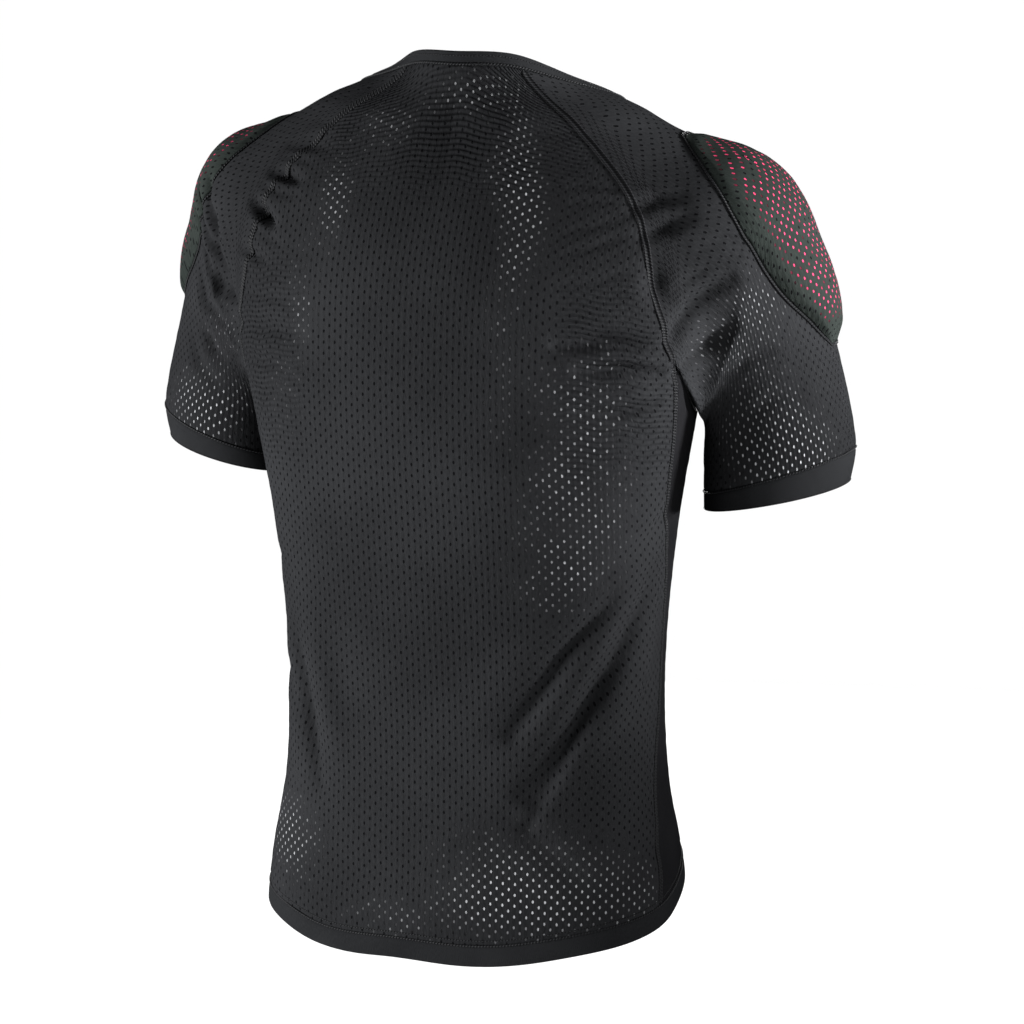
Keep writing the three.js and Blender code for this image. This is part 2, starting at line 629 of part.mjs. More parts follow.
const sideGrids = {};
const holes = {};
for (const [side, sign] of Object.entries(SIDES)) {
  const grid = sidePanel(sign);
  sideGrids[side] = grid;
  shirt.add(cloth(`side_panel_${side}`, walled(trimmed(grid, { ...both, last: true }), false, WALL), SMOOTH_CLOTH, 0.7));

  const hang = HANG[side];
  holes[side] = armhole(sign);
  const plain = sleeveGrid(sign, hang, [...SLEEVE_S, 0.96]);
  const sense = outwardSense(plain, true);
  const smooth = withNormals(plain, true, sense);
  const worn = smooth.map((row, i) => row.map((p) => (i === 0 ? p : { ...p, at: creased(p.at, p.normal) })));
  const sleeve = withNormals(worn, true, sense).slice(0, -1);
  sleeve[0] = sleeve[0].map((p, j) => {
    const share = ease(-0.92, -0.8, Math.cos(rad(p.turn)));
    return { ...p, normal: unit(mix(p.normal, holes[side][j].normal, share)) };
  });
  shirt.add(cloth(`sleeve_${side}`, walled(trimmed(sleeve, { first: true }), true, WALL), MESH_CLOTH, 0.85));

  const gapShare = GAP / 25 * (1 - CUFF_FROM);
  const cuff = withNormals(sleeveGrid(sign, hang, [0.88, CUFF_FROM + gapShare, 0.96, 1]), true, sense).slice(1);
  shirt.add(cloth(`cuff_${side}`, walled(cuff, true, BAND_WALL), BAND_CLOTH, 0.8));

  const { cover, pad } = pocketSheets(worn, POCKET_SWELL[side]);
  shirt.add(cloth(`pad_pocket_${side}`, cover, POCKET_CLOTH, 0.8));
  shirt.add(cloth(`shoulder_pad_${side}`, pad, PAD_FOAM, 0.9));
}

const neck = neckBand(neckRing(backGrid, frontGrid, holes));
shirt.add(cloth("neckband", walled(neck, true, BAND_WALL), BAND_CLOTH, 0.8));
const hem = hemBand(backGrid, frontGrid, sideGrids.left, sideGrids.right);
shirt.add(cloth("hem_band", walled(hem, true, BAND_WALL), BAND_CLOTH, 0.8));

export default shirt;
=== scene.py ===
import json
from math import cos, pi, radians, sin

import bpy
import numpy as np
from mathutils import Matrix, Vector

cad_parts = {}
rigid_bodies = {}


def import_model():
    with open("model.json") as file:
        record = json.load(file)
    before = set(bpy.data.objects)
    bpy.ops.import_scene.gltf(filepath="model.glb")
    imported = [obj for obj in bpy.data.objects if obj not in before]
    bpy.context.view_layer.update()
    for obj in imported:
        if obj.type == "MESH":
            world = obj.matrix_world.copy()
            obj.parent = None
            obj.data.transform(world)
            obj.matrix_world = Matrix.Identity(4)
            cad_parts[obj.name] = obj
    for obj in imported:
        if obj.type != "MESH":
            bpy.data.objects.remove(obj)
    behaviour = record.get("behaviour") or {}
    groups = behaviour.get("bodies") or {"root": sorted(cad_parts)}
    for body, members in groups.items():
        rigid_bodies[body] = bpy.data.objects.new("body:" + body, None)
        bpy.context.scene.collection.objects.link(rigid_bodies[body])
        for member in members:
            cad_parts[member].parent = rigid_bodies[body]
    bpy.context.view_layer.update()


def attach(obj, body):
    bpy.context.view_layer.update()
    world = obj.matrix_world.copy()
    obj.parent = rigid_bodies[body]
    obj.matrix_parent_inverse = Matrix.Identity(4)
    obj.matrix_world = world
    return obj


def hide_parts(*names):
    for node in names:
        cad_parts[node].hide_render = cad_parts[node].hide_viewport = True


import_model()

# Padded base-layer shirt, worn shape. The shape is worked out in millimetres, in the frame of
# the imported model: +Z up, front at -Y, the wearer's right at -X, origin in the neck opening.


def table(columns, *rows):
    """A short table with named columns, one row for each section, cut or fold."""
    names = columns.split()
    return {name: np.array([row[k] for row in rows], float) for k, name in enumerate(names)}


def hermite(t, h, a, b, slope_a, slope_b):
    """Cubic piece of length h from a to b, with the slopes given at its ends, at the share t of it."""
    return ((2 * t**3 - 3 * t**2 + 1) * a + (t**3 - 2 * t**2 + t) * h * slope_a
            + (3 * t**2 - 2 * t**3) * b + (t**3 - t**2) * h * slope_b)


def curve(rows, key, at):
    """Smooth value of a column at places in the first column: cubic pieces through every row."""
    x = rows[next(iter(rows))]
    y = rows[key]
    if x[0] > x[-1]:
        x, y = x[::-1], y[::-1]
    h = np.diff(x)
    d = np.diff(y) / h
    m = np.empty_like(y)
    m[0], m[-1] = d[0], d[-1]
    m[1:-1] = (d[:-1] * h[1:] + d[1:] * h[:-1]) / (h[:-1] + h[1:])
    at = np.clip(np.asarray(at, float), x[0], x[-1])
    i = np.clip(np.searchsorted(x, at) - 1, 0, len(x) - 2)
    t = (at - x[i]) / h[i]
    return hermite(t, h[i], y[i], y[i + 1], m[i], m[i + 1])


def ease(a, b, v):
    """Smooth step from 0 at a to 1 at b."""
    t = np.clip((v - a) / (b - a), 0, 1)
    return t * t * (3 - 2 * t)


def unit(v):
    """Vectors along the last axis brought to length 1."""
    return v / (np.linalg.norm(v, axis=-1, keepdims=True) + 1e-12)


# Cloth and seams
BAND_WALL = 2.4
GAP = 0.32
HEM_BAND = 16
NECK_BAND = 8.5
NECK_GAP = 0.8

NECKLINE = table("angle z",
    (-180, -66), (-165, -63), (-140, -46), (-115, -25), (-90, -10), (-55, 2), (0, 5),
    (55, 2), (90, -10), (115, -25), (140, -46), (165, -63), (180, -66))
HEM = table("angle z",
    (-180, -580), (-130, -582), (-110, -588), (-84, -605), (-60, -617), (-28, -632),
    (16, -635), (46, -635.5), (61, -628), (90, -618), (130, -600), (180, -580))
BACK_EDGE = table("z angle",
    (2, 56), (-14, 61.5), (-36, 65.5), (-60, 66.5), (-90, 66.5), (-125, 66), (-155, 67), (-175, 69),
    (-192, 71), (-240, 76), (-300, 80), (-370, 90), (-450, 90), (-510, 83), (-600, 76))
FRONT_EDGE = table("z angle",
    (-27, 117), (-60, 123), (-110, 126), (-160, 125),
    (-192, 124), (-240, 120), (-300, 115), (-370, 115), (-450, 115), (-510, 111), (-600, 106))
ARMPIT_Z = -192
UNDERARM_Z = -238
BACK_TOP_Z = 2
FRONT_TOP_Z = -27

TRUNK = table("z half back front mid",
    (-700, 160, 90, 118, 26), (-640, 160, 90, 118, 26), (-580, 154, 86, 114, 26),
    (-520, 143, 83, 110, 26), (-460, 139, 82, 110, 27), (-400, 140, 84, 114, 28),
    (-320, 148, 88, 122, 30), (-250, 160, 92, 124, 32), (-190, 170, 92, 118, 32),
    (-130, 168, 88, 104, 28), (-80, 150, 74, 82, 18), (-40, 104, 58, 60, 6))
TRUNK_SQUARE = 2.5
TRUNK_TOP = -38
NECK = dict(r=51, y=8, low=-120)
YOKE = dict(a=(42, 2, -54), b=(162, 2, -103), r0=50, r1=49, deep=1.22)
ARM = dict(a=(177, -20, -130), b=(221.85, -30.8, -360.2), r0=54, r1=48.6, deep=1.08)
SOFT = 12
SHOULDER_LIFT = 6
ARM_FADE = 90
AXIS_Y = 14

RINGS = table("s top_x top_z under_x under_z mid back front out",
    (0.16, 118, -26, 168, -240, 8, 68, 86, 24),
    (0.32, 162, -50, 168, -246, -2, 61, 78, 20),
    (0.46, 204, -76, 165, -254, -12, 54, 66, 13),
    (0.60, 229, -122, 162, -264, -22, 55, 57, 5),
    (0.78, 251, -188, 160, -276, -27, 54, 54, 0),
    (0.92, 267, -260, 160, -296, -27, 53, 52, 0),
    (1.00, 264, -284, 160, -308, -27, 49, 48, 0))
RING_SQUARE = 2.1
NECK_TURN = 32
ARMPIT_TURN = 152
START_S = 0.05
START_REACH = 13
CUFF_FROM = 0.92
PAST_SLEEVE = 0.93
CUFF_BAND = 25
HANG = {"left": -2, "right": -5}
SIDES = {"left": 1, "right": -1}

POCKET = table("s half rise",
    (0.27, 14, 0.6), (0.30, 31, 1), (0.35, 48, 2.6), (0.40, 57, 5), (0.46, 60, 6.6), (0.52, 58, 7.6),
    (0.58, 53, 8.5), (0.65, 45, 9.5), (0.71, 33, 10), (0.755, 20, 10), (0.775, 10, 9))
POCKET_TURN = -5
POCKET_SWELL = {"left": 0.85, "right": 1}
POCKET_WALL = 1.5
POCKET_EDGE = 1.0
POCKET_COVER = 0.9
POCKET_COLS = 96
PAD = dict(first=0.40, last=0.73, share=0.77, under=2.2, below_cover=1.7)
PAD_COLS = 60
PAD_THINNEST = 0.5
CLEAR = 1.8

# The largest folds, as in the solids: three points that each runs through, its half width and
# its depth, which is below zero for a ridge
FOLDS = table("ax ay az bx by bz cx cy cz width depth",
    (-94, 114, -176, -124, 104, -174, -153, 83, -180, 7, 5),
    (-109, 111, -194, -134, 98, -194, -157, 78, -198, 6, 4.5),
    (-109, 110, -223, -132, 98, -225, -154, 77, -220, 5, 3),
    (98, 113, -182, 126, 103, -180, 152, 84, -186, 7, 3),
    (112, 110, -206, 134, 98, -205, 156, 77, -208, 6, 2.5),
    (-162, 78, -181, -172, 59, -155, -198, 50, -139, 7, 5),
    (-170, 67, -200, -179, 50, -188, -198, 46, -172, 6, 4),
    (192, 57, -108, 195, 51, -136, 185, 50, -170, 7, 5),
    (204, 45, -145, 195, 48, -166, 164, 78, -185, 6, 4),
    (220, 30, -152, 214, 33, -176, 190, 50, -198, 6, 3.5),
    (126, 58, -57, 111, 62, -54, 95, 67, -54, 6, 3),
    (136, 67, -74, 123, 72, -75, 113, 77, -77, 6, 3),
    (150, 72, -96, 139, 79, -103, 129, 86, -108, 6, 4),
    (-135, 74, -86, -148, 67, -81, -163, 62, -80, 6, 3.5),
    (-142, 78, -104, -157, 70, -99, -172, 65, -92, 6, 4),
    (-151, 79, -128, -153, 80, -137, -156, 79, -147, 9, 4),
    (-125, 81, -359, -94, 98, -401, -59, 105, -457, 14, 5),
    (-141, 51, -360, -115, 83, -429, -72, 102, -502, 14, 6),
    (123, 77, -401, 110, 86, -457, 95, 95, -510, 13, 4),
    (96, 94, -392, 88, 98, -440, 80, 100, -482, 12, -2.5),
    (-104, -82, -176, -128, -64, -178, -152, -36, -186, 8, 4),
    (104, -82, -178, 128, -64, -181, 150, -38, -190, 8, 4),
    (-110, -84, -212, -132, -64, -216, -150, -40, -220, 7, 3),
    (112, -84, -214, 132, -64, -217, 150, -40, -222, 7, 3),
    (-120, -58, -372, -92, -74, -420, -56, -84, -480, 14, 4),
    (118, -58, -384, 90, -74, -440, 58, -84, -500, 14, 4),
    (196, -74, -120, 192, -72, -150, 180, -62, -184, 7, 4),
    (-196, -74, -124, -190, -72, -152, -178, -62, -186, 7, 4))

# Finer creases that only the cloth shows
CREASES = table("ax ay az bx by bz cx cy cz width depth",
    (-94, 114, -178, -124, 104, -176, -153, 83, -182, 3, 3),
    (-109, 111, -196, -134, 98, -196, -157, 78, -200, 3, 3),
    (-109, 110, -225, -132, 98, -227, -154, 77, -222, 3, 2.4),
    (-125, 81, -363, -94, 98, -405, -59, 105, -461, 6, 4),
    (-141, 51, -366, -115, 83, -435, -72, 102, -508, 6, 4.5),
    (-133, 70, -380, -104, 92, -440, -64, 104, -505, 5, 3),
    (-120, 84, -420, -98, 96, -470, -70, 102, -530, 5, 2.5),
    (123, 77, -405, 110, 86, -460, 95, 95, -515, 6, 3),
    (150, 72, -98, 140, 79, -105, 128, 86, -112, 4, 4.5),
    (136, 67, -76, 124, 72, -77, 112, 77, -80, 4, 3.5),
    (160, 70, -130, 146, 80, -132, 130, 88, -136, 4, 3.5),
    (205, 44, -75, 200, 52, -100, 190, 60, -130, 4, 4),
    (214, 34, -85, 208, 44, -115, 198, 52, -145, 4, 4),
    (222, 24, -95, 217, 36, -125, 207, 46, -155, 3.5, 3.5),
    (-92, 82, -71, -104, 79, -73, -122, 73, -76, 3, 1.6),
    (-96, 86, -82, -112, 80, -83, -130, 73, -85, 3, 1.6),
    (-96, 102, -117, -114, 95, -112, -136, 82, -104, 3, 1.4),
    (-88, 98, -104, -110, 91, -99, -132, 80, -93, 2.6, 1.0),
    (-90, 106, -139, -116, 98, -136, -140, 85, -128, 3, 1.0),
    (-112, 112, -206, -136, 98, -208, -157, 77, -209, 3.5, 1.8),
    (-100, 114, -186, -126, 104, -185, -152, 84, -189, 3, -1.6),
    (-118, 109, -240, -136, 98, -243, -153, 78, -240, 4, 1.6),
    (-116, 109, -258, -134, 98, -262, -150, 78, -263, 4, 1.2),
    (88, 74, -42, 102, 68, -44, 118, 60, -47, 3, 1.4),
    (104, 76, -64, 120, 70, -63, 134, 62, -64, 3, 1.6),
    (112, 84, -88, 128, 78, -87, 144, 70, -85, 3.5, 1.8),
    (118, 94, -122, 132, 88, -118, 150, 76, -112, 3.5, 1.6),
    (104, 108, -160, 126, 99, -158, 150, 82, -160, 4, 1.4),
    (116, 108, -228, 136, 98, -229, 154, 78, -230, 4, 1.4),
    (214, 34, -196, 206, 36, -214, 190, 44, -226, 5, 1.8),
    (226, 22, -206, 218, 26, -226, 204, 34, -240, 5, 1.4),
    (-180, 60, -112, -194, 54, -108, -208, 46, -110, 4, 1.5),
    (-166, 70, -140, -182, 58, -128, -204, 48, -122, 4, 1.6),
    (-196, 44, -208, -206, 38, -196, -220, 28, -190, 5, 1.5),
    (-208, 36, -232, -222, 26, -222, -234, 12, -218, 5, 1.3),
    (-187, 13, -47, -200, 11, -56, -212, 8, -67, 4, 1.6),
    (150, 40, -330, 138, 62, -350, 118, 80, -372, 8, 1.6),
    (148, 30, -420, 134, 60, -440, 110, 84, -470, 9, 1.8),
    (-150, 30, -300, -140, 56, -318, -118, 84, -340, 8, 1.6),
    (-146, 24, -420, -136, 52, -446, -112, 82, -480, 10, 2.0),
    (-60, 106, -520, -86, 100, -548, -118, 84, -580, 10, 1.8),
    (20, 110, -560, 54, 108, -574, 92, 98, -584, 10, 1.2),
    (-148, 20, -540, -134, 52, -560, -108, 84, -584, 9, 1.6),
    (-70, -82, -90, -92, -74, -94, -116, -60, -98, 5, 1.4),
    (70, -82, -92, 92, -74, -95, 116, -60, -100, 5, 1.4),
    (-60, -90, -130, -86, -84, -132, -112, -70, -136, 6, 1.2),
    (60, -90, -132, 86, -84, -134, 112, -70, -138, 6, 1.2),
    (-140, -40, -300, -122, -62, -324, -96, -78, -352, 8, 1.8),
    (140, -40, -306, 122, -62, -330, 96, -78, -356, 8, 1.8),
    (-50, -84, -540, -84, -76, -552, -120, -52, -566, 9, 1.6),
    (50, -84, -544, 84, -76, -556, 120, -52, -568, 9, 1.6),
    (224, -62, -210, 214, -68, -226, 196, -72, -238, 5, 1.6),
    (-224, -62, -212, -214, -68, -228, -196, -72, -240, 5, 1.6))


# Share of the tables' depths that the thin cloth shows, and the height of its ripples
FOLD_DEPTH = 1.75
CREASE_DEPTH = 1.6
WIDE_RIPPLE = 0.45
LEVEL_RIPPLE = 0.22


def soft_max(a, b):
    """The larger of two values, rounded over where they are close."""
    return SOFT * np.logaddexp(a / SOFT, b / SOFT)


def trunk_field(p):
    """Below zero inside level sections that are squared ellipses, closed softly at the shoulders."""
    x, y, z = p[..., 0], p[..., 1], p[..., 2]
    dy = y - curve(TRUNK, "mid", z)
    deep = np.where(dy > 0, curve(TRUNK, "back", z), curve(TRUNK, "front", z))
    r = np.hypot(x, dy) + 1e-9
    n = TRUNK_SQUARE
    rho = (np.abs(x / curve(TRUNK, "half", z)) ** n + np.abs(dy / deep) ** n) ** (1 / n)
    return soft_max(r * (1 - 1 / (rho + 1e-9)), z - TRUNK_TOP)


def cone_field(p, a, b, r0, r1, deep):
    """Distance to a round cone about the line a-b whose sections are deeper in y."""
    q = np.stack([np.abs(p[..., 0]) - a[0], (p[..., 1] - a[1]) / deep, p[..., 2] - a[2]], -1)
    d = np.array([b[0] - a[0], (b[1] - a[1]) / deep, b[2] - a[2]], float)
    t = np.clip(q @ d / (d @ d), 0, 1)
    return np.linalg.norm(q - t[..., None] * d, axis=-1) - (r0 + t * (r1 - r0))


def field(p, arms_away=0.0):
    """The worn surface: trunk, neck, yoke and arms joined softly, zero on the cloth."""
    neck = soft_max(np.hypot(p[..., 0], p[..., 1] - NECK["y"]) - NECK["r"], NECK["low"] - p[..., 2])
    q = p.copy()
    x = p[..., 0]
    q[..., 2] -= SHOULDER_LIFT * ease(30, 90, x) * (1 - ease(110, 185, x))
    parts = np.stack([trunk_field(p), neck, cone_field(q, **YOKE), cone_field(q, **ARM) + arms_away])
    return -SOFT * np.logaddexp.reduce(-parts / SOFT, axis=0)


def torso_field(p):
    """The worn surface without its arms below the armpits."""
    return field(p, ARM_FADE * ease(180, 226, -p[..., 2]))


def gradient(f, p):
    """Slope of a field, from its values half a millimetre to each side."""
    steps = np.eye(3) * 0.5
    return np.stack([f(p + e) - f(p - e) for e in steps], -1)


def settle(p):
    """Moves points along the field's slope onto the worn surface."""
    for _ in range(5):
        g = gradient(field, p)
        p = p - g * np.clip(field(p) / np.maximum((g * g).sum(-1), 0.25), -15, 15)[..., None]
    return p


def torso(angle, z):
    """Points of the worn surface on level rays from the trunk's middle, found by halving."""
    angle, z = np.broadcast_arrays(np.asarray(angle, float), np.asarray(z, float))
    d = np.stack([np.sin(np.radians(angle)), np.cos(np.radians(angle)), 0 * z], -1)
    middle = np.stack([0 * z, AXIS_Y + 0 * z, z], -1)
    lo = np.full(z.shape, 15.0)
    going = np.ones(z.shape, bool)
    for _ in range(36):
        going &= torso_field(middle + d * (lo + 8)[..., None]) <= 0
        if not going.any():
            break
        lo = np.where(going, lo + 8, lo)
    hi = lo + 8
    for _ in range(14):
        m = (lo + hi) / 2
        inside = torso_field(middle + d * m[..., None]) <= 0
        lo, hi = np.where(inside, m, lo), np.where(inside, hi, m)
    return middle + d * ((lo + hi) / 2)[..., None]


def fold_move(p, normal, rows):
    """How far points go in at folds: a trough with raised lips, fading to both ends of its line.

    Distances are taken along the cloth, so a line may lie a little above or below it.
    """
    move = np.zeros(p.shape[:-1])
    for k in range(len(rows["ax"])):
        q = [np.array([rows[n + c][k] for c in "xyz"]) for n in "abc"]
        width, depth = rows["width"][k], rows["depth"][k]
        near = np.linalg.norm(p - q[1], axis=-1) < np.linalg.norm(q[2] - q[0]) / 2 + width * 6
        s, up = p[near], normal[near]
        best = np.full(len(s), 1e9)
        place = np.zeros(len(s))
        for i in (0, 1):
            d = q[i + 1] - q[i]
            t = np.clip((s - q[i]) @ d / (d @ d), 0, 1)
            gap = s - q[i] - t[:, None] * d
            above = (gap * up).sum(-1, keepdims=True)
            far = np.linalg.norm(gap - above * up * ease(30, 18, np.abs(above)), axis=-1)
            nearer = far < best
            best = np.where(nearer, far, best)
            place = np.where(nearer, (i + t) / 2, place)
        shape = np.exp(-(best / width) ** 2) - 0.3 * np.exp(-(best / width / 2.2) ** 2)
        move[near] -= depth * shape * (0.4 + 0.6 * np.sin(pi * place))
    return move


def ripple(p, size, seed):
    """Smooth uneven waves: five sines in seeded directions whose wavelengths are about the size."""
    rng = np.random.default_rng(seed)
    total = np.zeros(p.shape[:-1])
    for _ in range(5):
        way = unit(rng.normal(size=3))
        phase = rng.uniform(0, 2 * pi)
        length = size * rng.uniform(0.7, 1.5)
        total += np.sin(2 * pi * (p @ way) / length + phase + 1.3 * np.sin((p @ way[::-1]) / length))
    return total / 5


def ribbed(p):
    """Where fine level ribs cross the cloth, from 0 to 1: the top of the back and beside the arms."""
    x, y, z = np.abs(p[..., 0]), p[..., 1], p[..., 2]
    top = ease(-100, -40, z) * (1 - ease(78, 112, x)) * ease(20, 50, y)
    sides = ease(-300, -250, z) * (1 - ease(-150, -110, z)) * ease(84, 110, x) * (1 - ease(160, 176, x))
    patchy = 0.7 + 0.5 * ripple(p, 40, 17)
    return np.clip(np.maximum(top, 0.6 * sides * ease(10, 40, y)) * patchy, 0, 1)


def cloth_move(p, normal):
    """All that the cloth does beside its plain worn shape: folds, creases, wide and narrow ripples."""
    move = FOLD_DEPTH * fold_move(p, normal, FOLDS) + CREASE_DEPTH * fold_move(p, normal, CREASES)
    wide = WIDE_RIPPLE * ripple(p, 60, 3) + LEVEL_RIPPLE * ripple(p * np.array([1, 1, 2.4]), 26, 8)
    return move + wide


def hem_at(angle):
    """Level of the shirt's lower edge at an angle round the trunk."""
    return curve(HEM, "z", (angle + 540) % 360 - 180)


def neck_at(angle):
    """Level of the neckline at an angle round the trunk."""
    return curve(NECKLINE, "z", (angle + 540) % 360 - 180)


def edge_hem(edge, sign):
    """Level at which an edge of a panel meets the top of the hem band."""
    z = -600.0
    for _ in range(6):
        z = float(hem_at(sign * curve(edge, "angle", z))) + HEM_BAND
    return z


def panel(edge, top, middle, rows, cols):
    """Grid of the back (middle 0) or front (middle 180): up from the hem, across between seams."""
    flip = 1 if middle == 0 else -1
    up = np.linspace(0, 1, rows + 1)[:, None]
    t = np.linspace(0, 1, cols + 1)[None, :]
    w = 2 * t - 1
    from_a, from_b = edge_hem(edge, -flip), edge_hem(edge, flip)
    side_a, side_b = from_a + (top - from_a) * up, from_b + (top - from_b) * up
    z = side_a + (side_b - side_a) * t
    inner = (t > 0) & (t < 1)
    for _ in range(6):
        reach = curve(edge, "angle", z)
        angle = w * reach if middle == 0 else 180 + w * (180 - reach)
        z = np.where(inner, (hem_at(angle) + HEM_BAND) * (1 - up) + neck_at(angle) * up, z)
    return angle, z


def torso_grid(angle, z):
    """Points of the worn surface at angles and levels, and the normals there."""
    at = torso(angle, z)
    return at, unit(gradient(torso_field, at))


def side_grid(sign, rows, cols):
    """Grid of a side panel, up from the hem to the arc under the arm."""
    u = np.linspace(0, 1, rows + 1)[:, None]
    w = np.linspace(0, 1, cols + 1)[None, :]
    back = edge_hem(BACK_EDGE, sign)
    front = edge_hem(FRONT_EDGE, sign)
    z_back, z_front = back + (ARMPIT_Z - back) * u, front + (ARMPIT_Z - front) * u
    z = z_back + (z_front - z_back) * w
    top = ARMPIT_Z + (UNDERARM_Z - ARMPIT_Z) * np.sin(pi * w)
    inner = (w > 0) & (w < 1)
    for _ in range(6):
        a, b = curve(BACK_EDGE, "angle", z), curve(FRONT_EDGE, "angle", z)
        angle = sign * (a + (b - a) * w)
        z = np.where(inner, (hem_at(angle) + HEM_BAND) * (1 - u) + top * u, z)
    return (angle, z) if sign > 0 else (angle[:, ::-1], z[:, ::-1])


def armhole(sign, back=90, under=34, front=60, neck=26):
    """Closed loop where the sleeve starts: its points, their normals, the sleeve's next ring, and
    the turn about the arm of each point. The last four arguments count the points of each side.
    """
    zb = np.linspace(BACK_TOP_Z, ARMPIT_Z, back + 1)
    share = (zb - ARMPIT_Z) / (BACK_TOP_Z - ARMPIT_Z)
    angle = [sign * curve(BACK_EDGE, "angle", zb)]
    level = [zb]
    turn = [ARMPIT_TURN + (NECK_TURN - ARMPIT_TURN) * share]
    w = np.linspace(0, 1, under + 1)[1:-1]
    a = float(curve(BACK_EDGE, "angle", ARMPIT_Z))
    b = float(curve(FRONT_EDGE, "angle", ARMPIT_Z))
    angle.append(sign * (a + (b - a) * w))
    level.append(ARMPIT_Z + (UNDERARM_Z - ARMPIT_Z) * np.sin(pi * w))
    turn.append(ARMPIT_TURN + (360 - 2 * ARMPIT_TURN) * w)
    zf = np.linspace(ARMPIT_Z, FRONT_TOP_Z, front + 1)
    share = (zf - ARMPIT_Z) / (FRONT_TOP_Z - ARMPIT_Z)
    angle.append(sign * curve(FRONT_EDGE, "angle", zf))
    level.append(zf)
    turn.append(360 - ARMPIT_TURN - (NECK_TURN - ARMPIT_TURN) * share)
    t = np.linspace(0, 1, neck + 1)[1:-1]
    a = float(curve(FRONT_EDGE, "angle", FRONT_TOP_Z))
    b = float(curve(BACK_EDGE, "angle", BACK_TOP_Z))
    top = sign * (a + (b - a) * t)
    angle.append(top)
    level.append(neck_at(top))
    turn.append(360 - NECK_TURN + 2 * NECK_TURN * t)
    angle, level, turn = (np.concatenate(v) for v in (angle, level, turn))
    at, normal = torso_grid(angle, level)
    along = np.roll(at, -1, 0) - np.roll(at, 1, 0)
    away = unit(np.cross(along, normal)) * sign
    share = ease(-0.85, -0.35, np.cos(np.radians(turn)))[:, None]
    start = at + away * START_REACH * share + normal * 3 * (1 - share)
    start = start + (settle(start) - start) * share
    first = int(np.argmin(np.abs(turn - 180)))
    turn = np.where(np.arange(len(turn)) < first, turn + 360, turn)
    return tuple(np.roll(v, -first, 0) for v in (at, normal, start, turn))


def sleeve_grid(side, places, hole):
    """Sleeve on smooth lines from the armhole through the rings, settled on the shoulder."""
    sign, hang = SIDES[side], HANG[side]
    at, _, start, turn = hole
    c, s = np.cos(np.radians(turn)), np.sin(np.radians(turn))
    k = (np.abs(c) ** RING_SQUARE + np.abs(s) ** RING_SQUARE) ** (-1 / RING_SQUARE)
    knots = [at, start]
    for i in range(len(RINGS["s"])):
        r = {name: column[i] for name, column in RINGS.items()}
        deep = np.where(s > 0, r["back"], r["front"])
        x = (r["top_x"] + r["under_x"]) / 2 + k * c * (r["top_x"] - r["under_x"]) / 2 + r["out"] * s * s
        z = (r["top_z"] + r["under_z"]) / 2 + k * c * (r["top_z"] - r["under_z"]) / 2
        z = z + hang * r["s"] ** 2
        if sign > 0:
            z = z + SHOULDER_LIFT * (1 - ease(0.18, 0.44, r["s"]))
        knots.append(np.stack([sign * x, r["mid"] + k * s * deep, z], -1))
    knots = np.array(knots)
    place = np.array([0, START_S, *RINGS["s"]])
    h = np.diff(place)
    d = np.diff(knots, axis=0) / h[:, None, None]
    m = np.empty_like(knots)
    m[0], m[-1] = d[0], d[-1]
    share = (h[:-1] / (h[:-1] + h[1:]))[:, None, None]
    m[1:-1] = d[:-1] + (d[1:] - d[:-1]) * share
    places = np.asarray(places, float)
    i = np.clip(np.searchsorted(place, places) - 1, 0, len(place) - 2)
    t = ((places - place[i]) / h[i])[:, None, None]
    grid = hermite(t, h[i][:, None, None], knots[i], knots[i + 1], m[i], m[i + 1])
    weight = (1 - ease(0.35, 0.62, places))[:, None] * ease(-0.85, -0.35, c)[None, :]
    weight = weight * (places > 0)[:, None]
    return grid + (settle(grid) - grid) * weight[..., None]


def relaxed(grid, places, turn, rounds=90):
    """The sleeve's grid with its lines eased into one another by the armhole.

    Each round moves a point towards the mean of its neighbours, and now and then the shoulder's
    part is settled back on the worn surface.
    """
    near = (1 - ease(0.34, 0.5, places))[1:-1, None, None]
    hold = (1 - ease(0.3, 0.5, places))[1:-1, None] * ease(-0.85, -0.35, np.cos(np.radians(turn)))[None, :]
    for k in range(rounds):
        middle = grid[1:-1]
        ends = (grid[:-2] + grid[2:]) / 2
        sides = (np.roll(middle, 1, 1) + np.roll(middle, -1, 1)) / 2
        grid[1:-1] = middle + near * (0.5 * (ends - middle) + 0.12 * (sides - middle))
        if k % 15 == 14:
            middle = grid[1:-1]
            grid[1:-1] = middle + (settle(middle) - middle) * hold[..., None]
    return grid


def grid_normals(grid, wrap):
    """Normals of a grid, square to the lines between the neighbours of each point."""
    up = np.gradient(grid, axis=0)
    across = np.roll(grid, -1, 1) - np.roll(grid, 1, 1) if wrap else np.gradient(grid, axis=1)
    return unit(np.cross(up, across))


def outward(grid, normal):
    """The same normals, all on the side that faces away from the grid's own middle line."""
    row = int(len(grid) * 0.7)
    away = grid[row] - grid[row].mean(0)
    return normal * (1 if (normal[row] * away).sum() > 0 else -1)


# Meshes


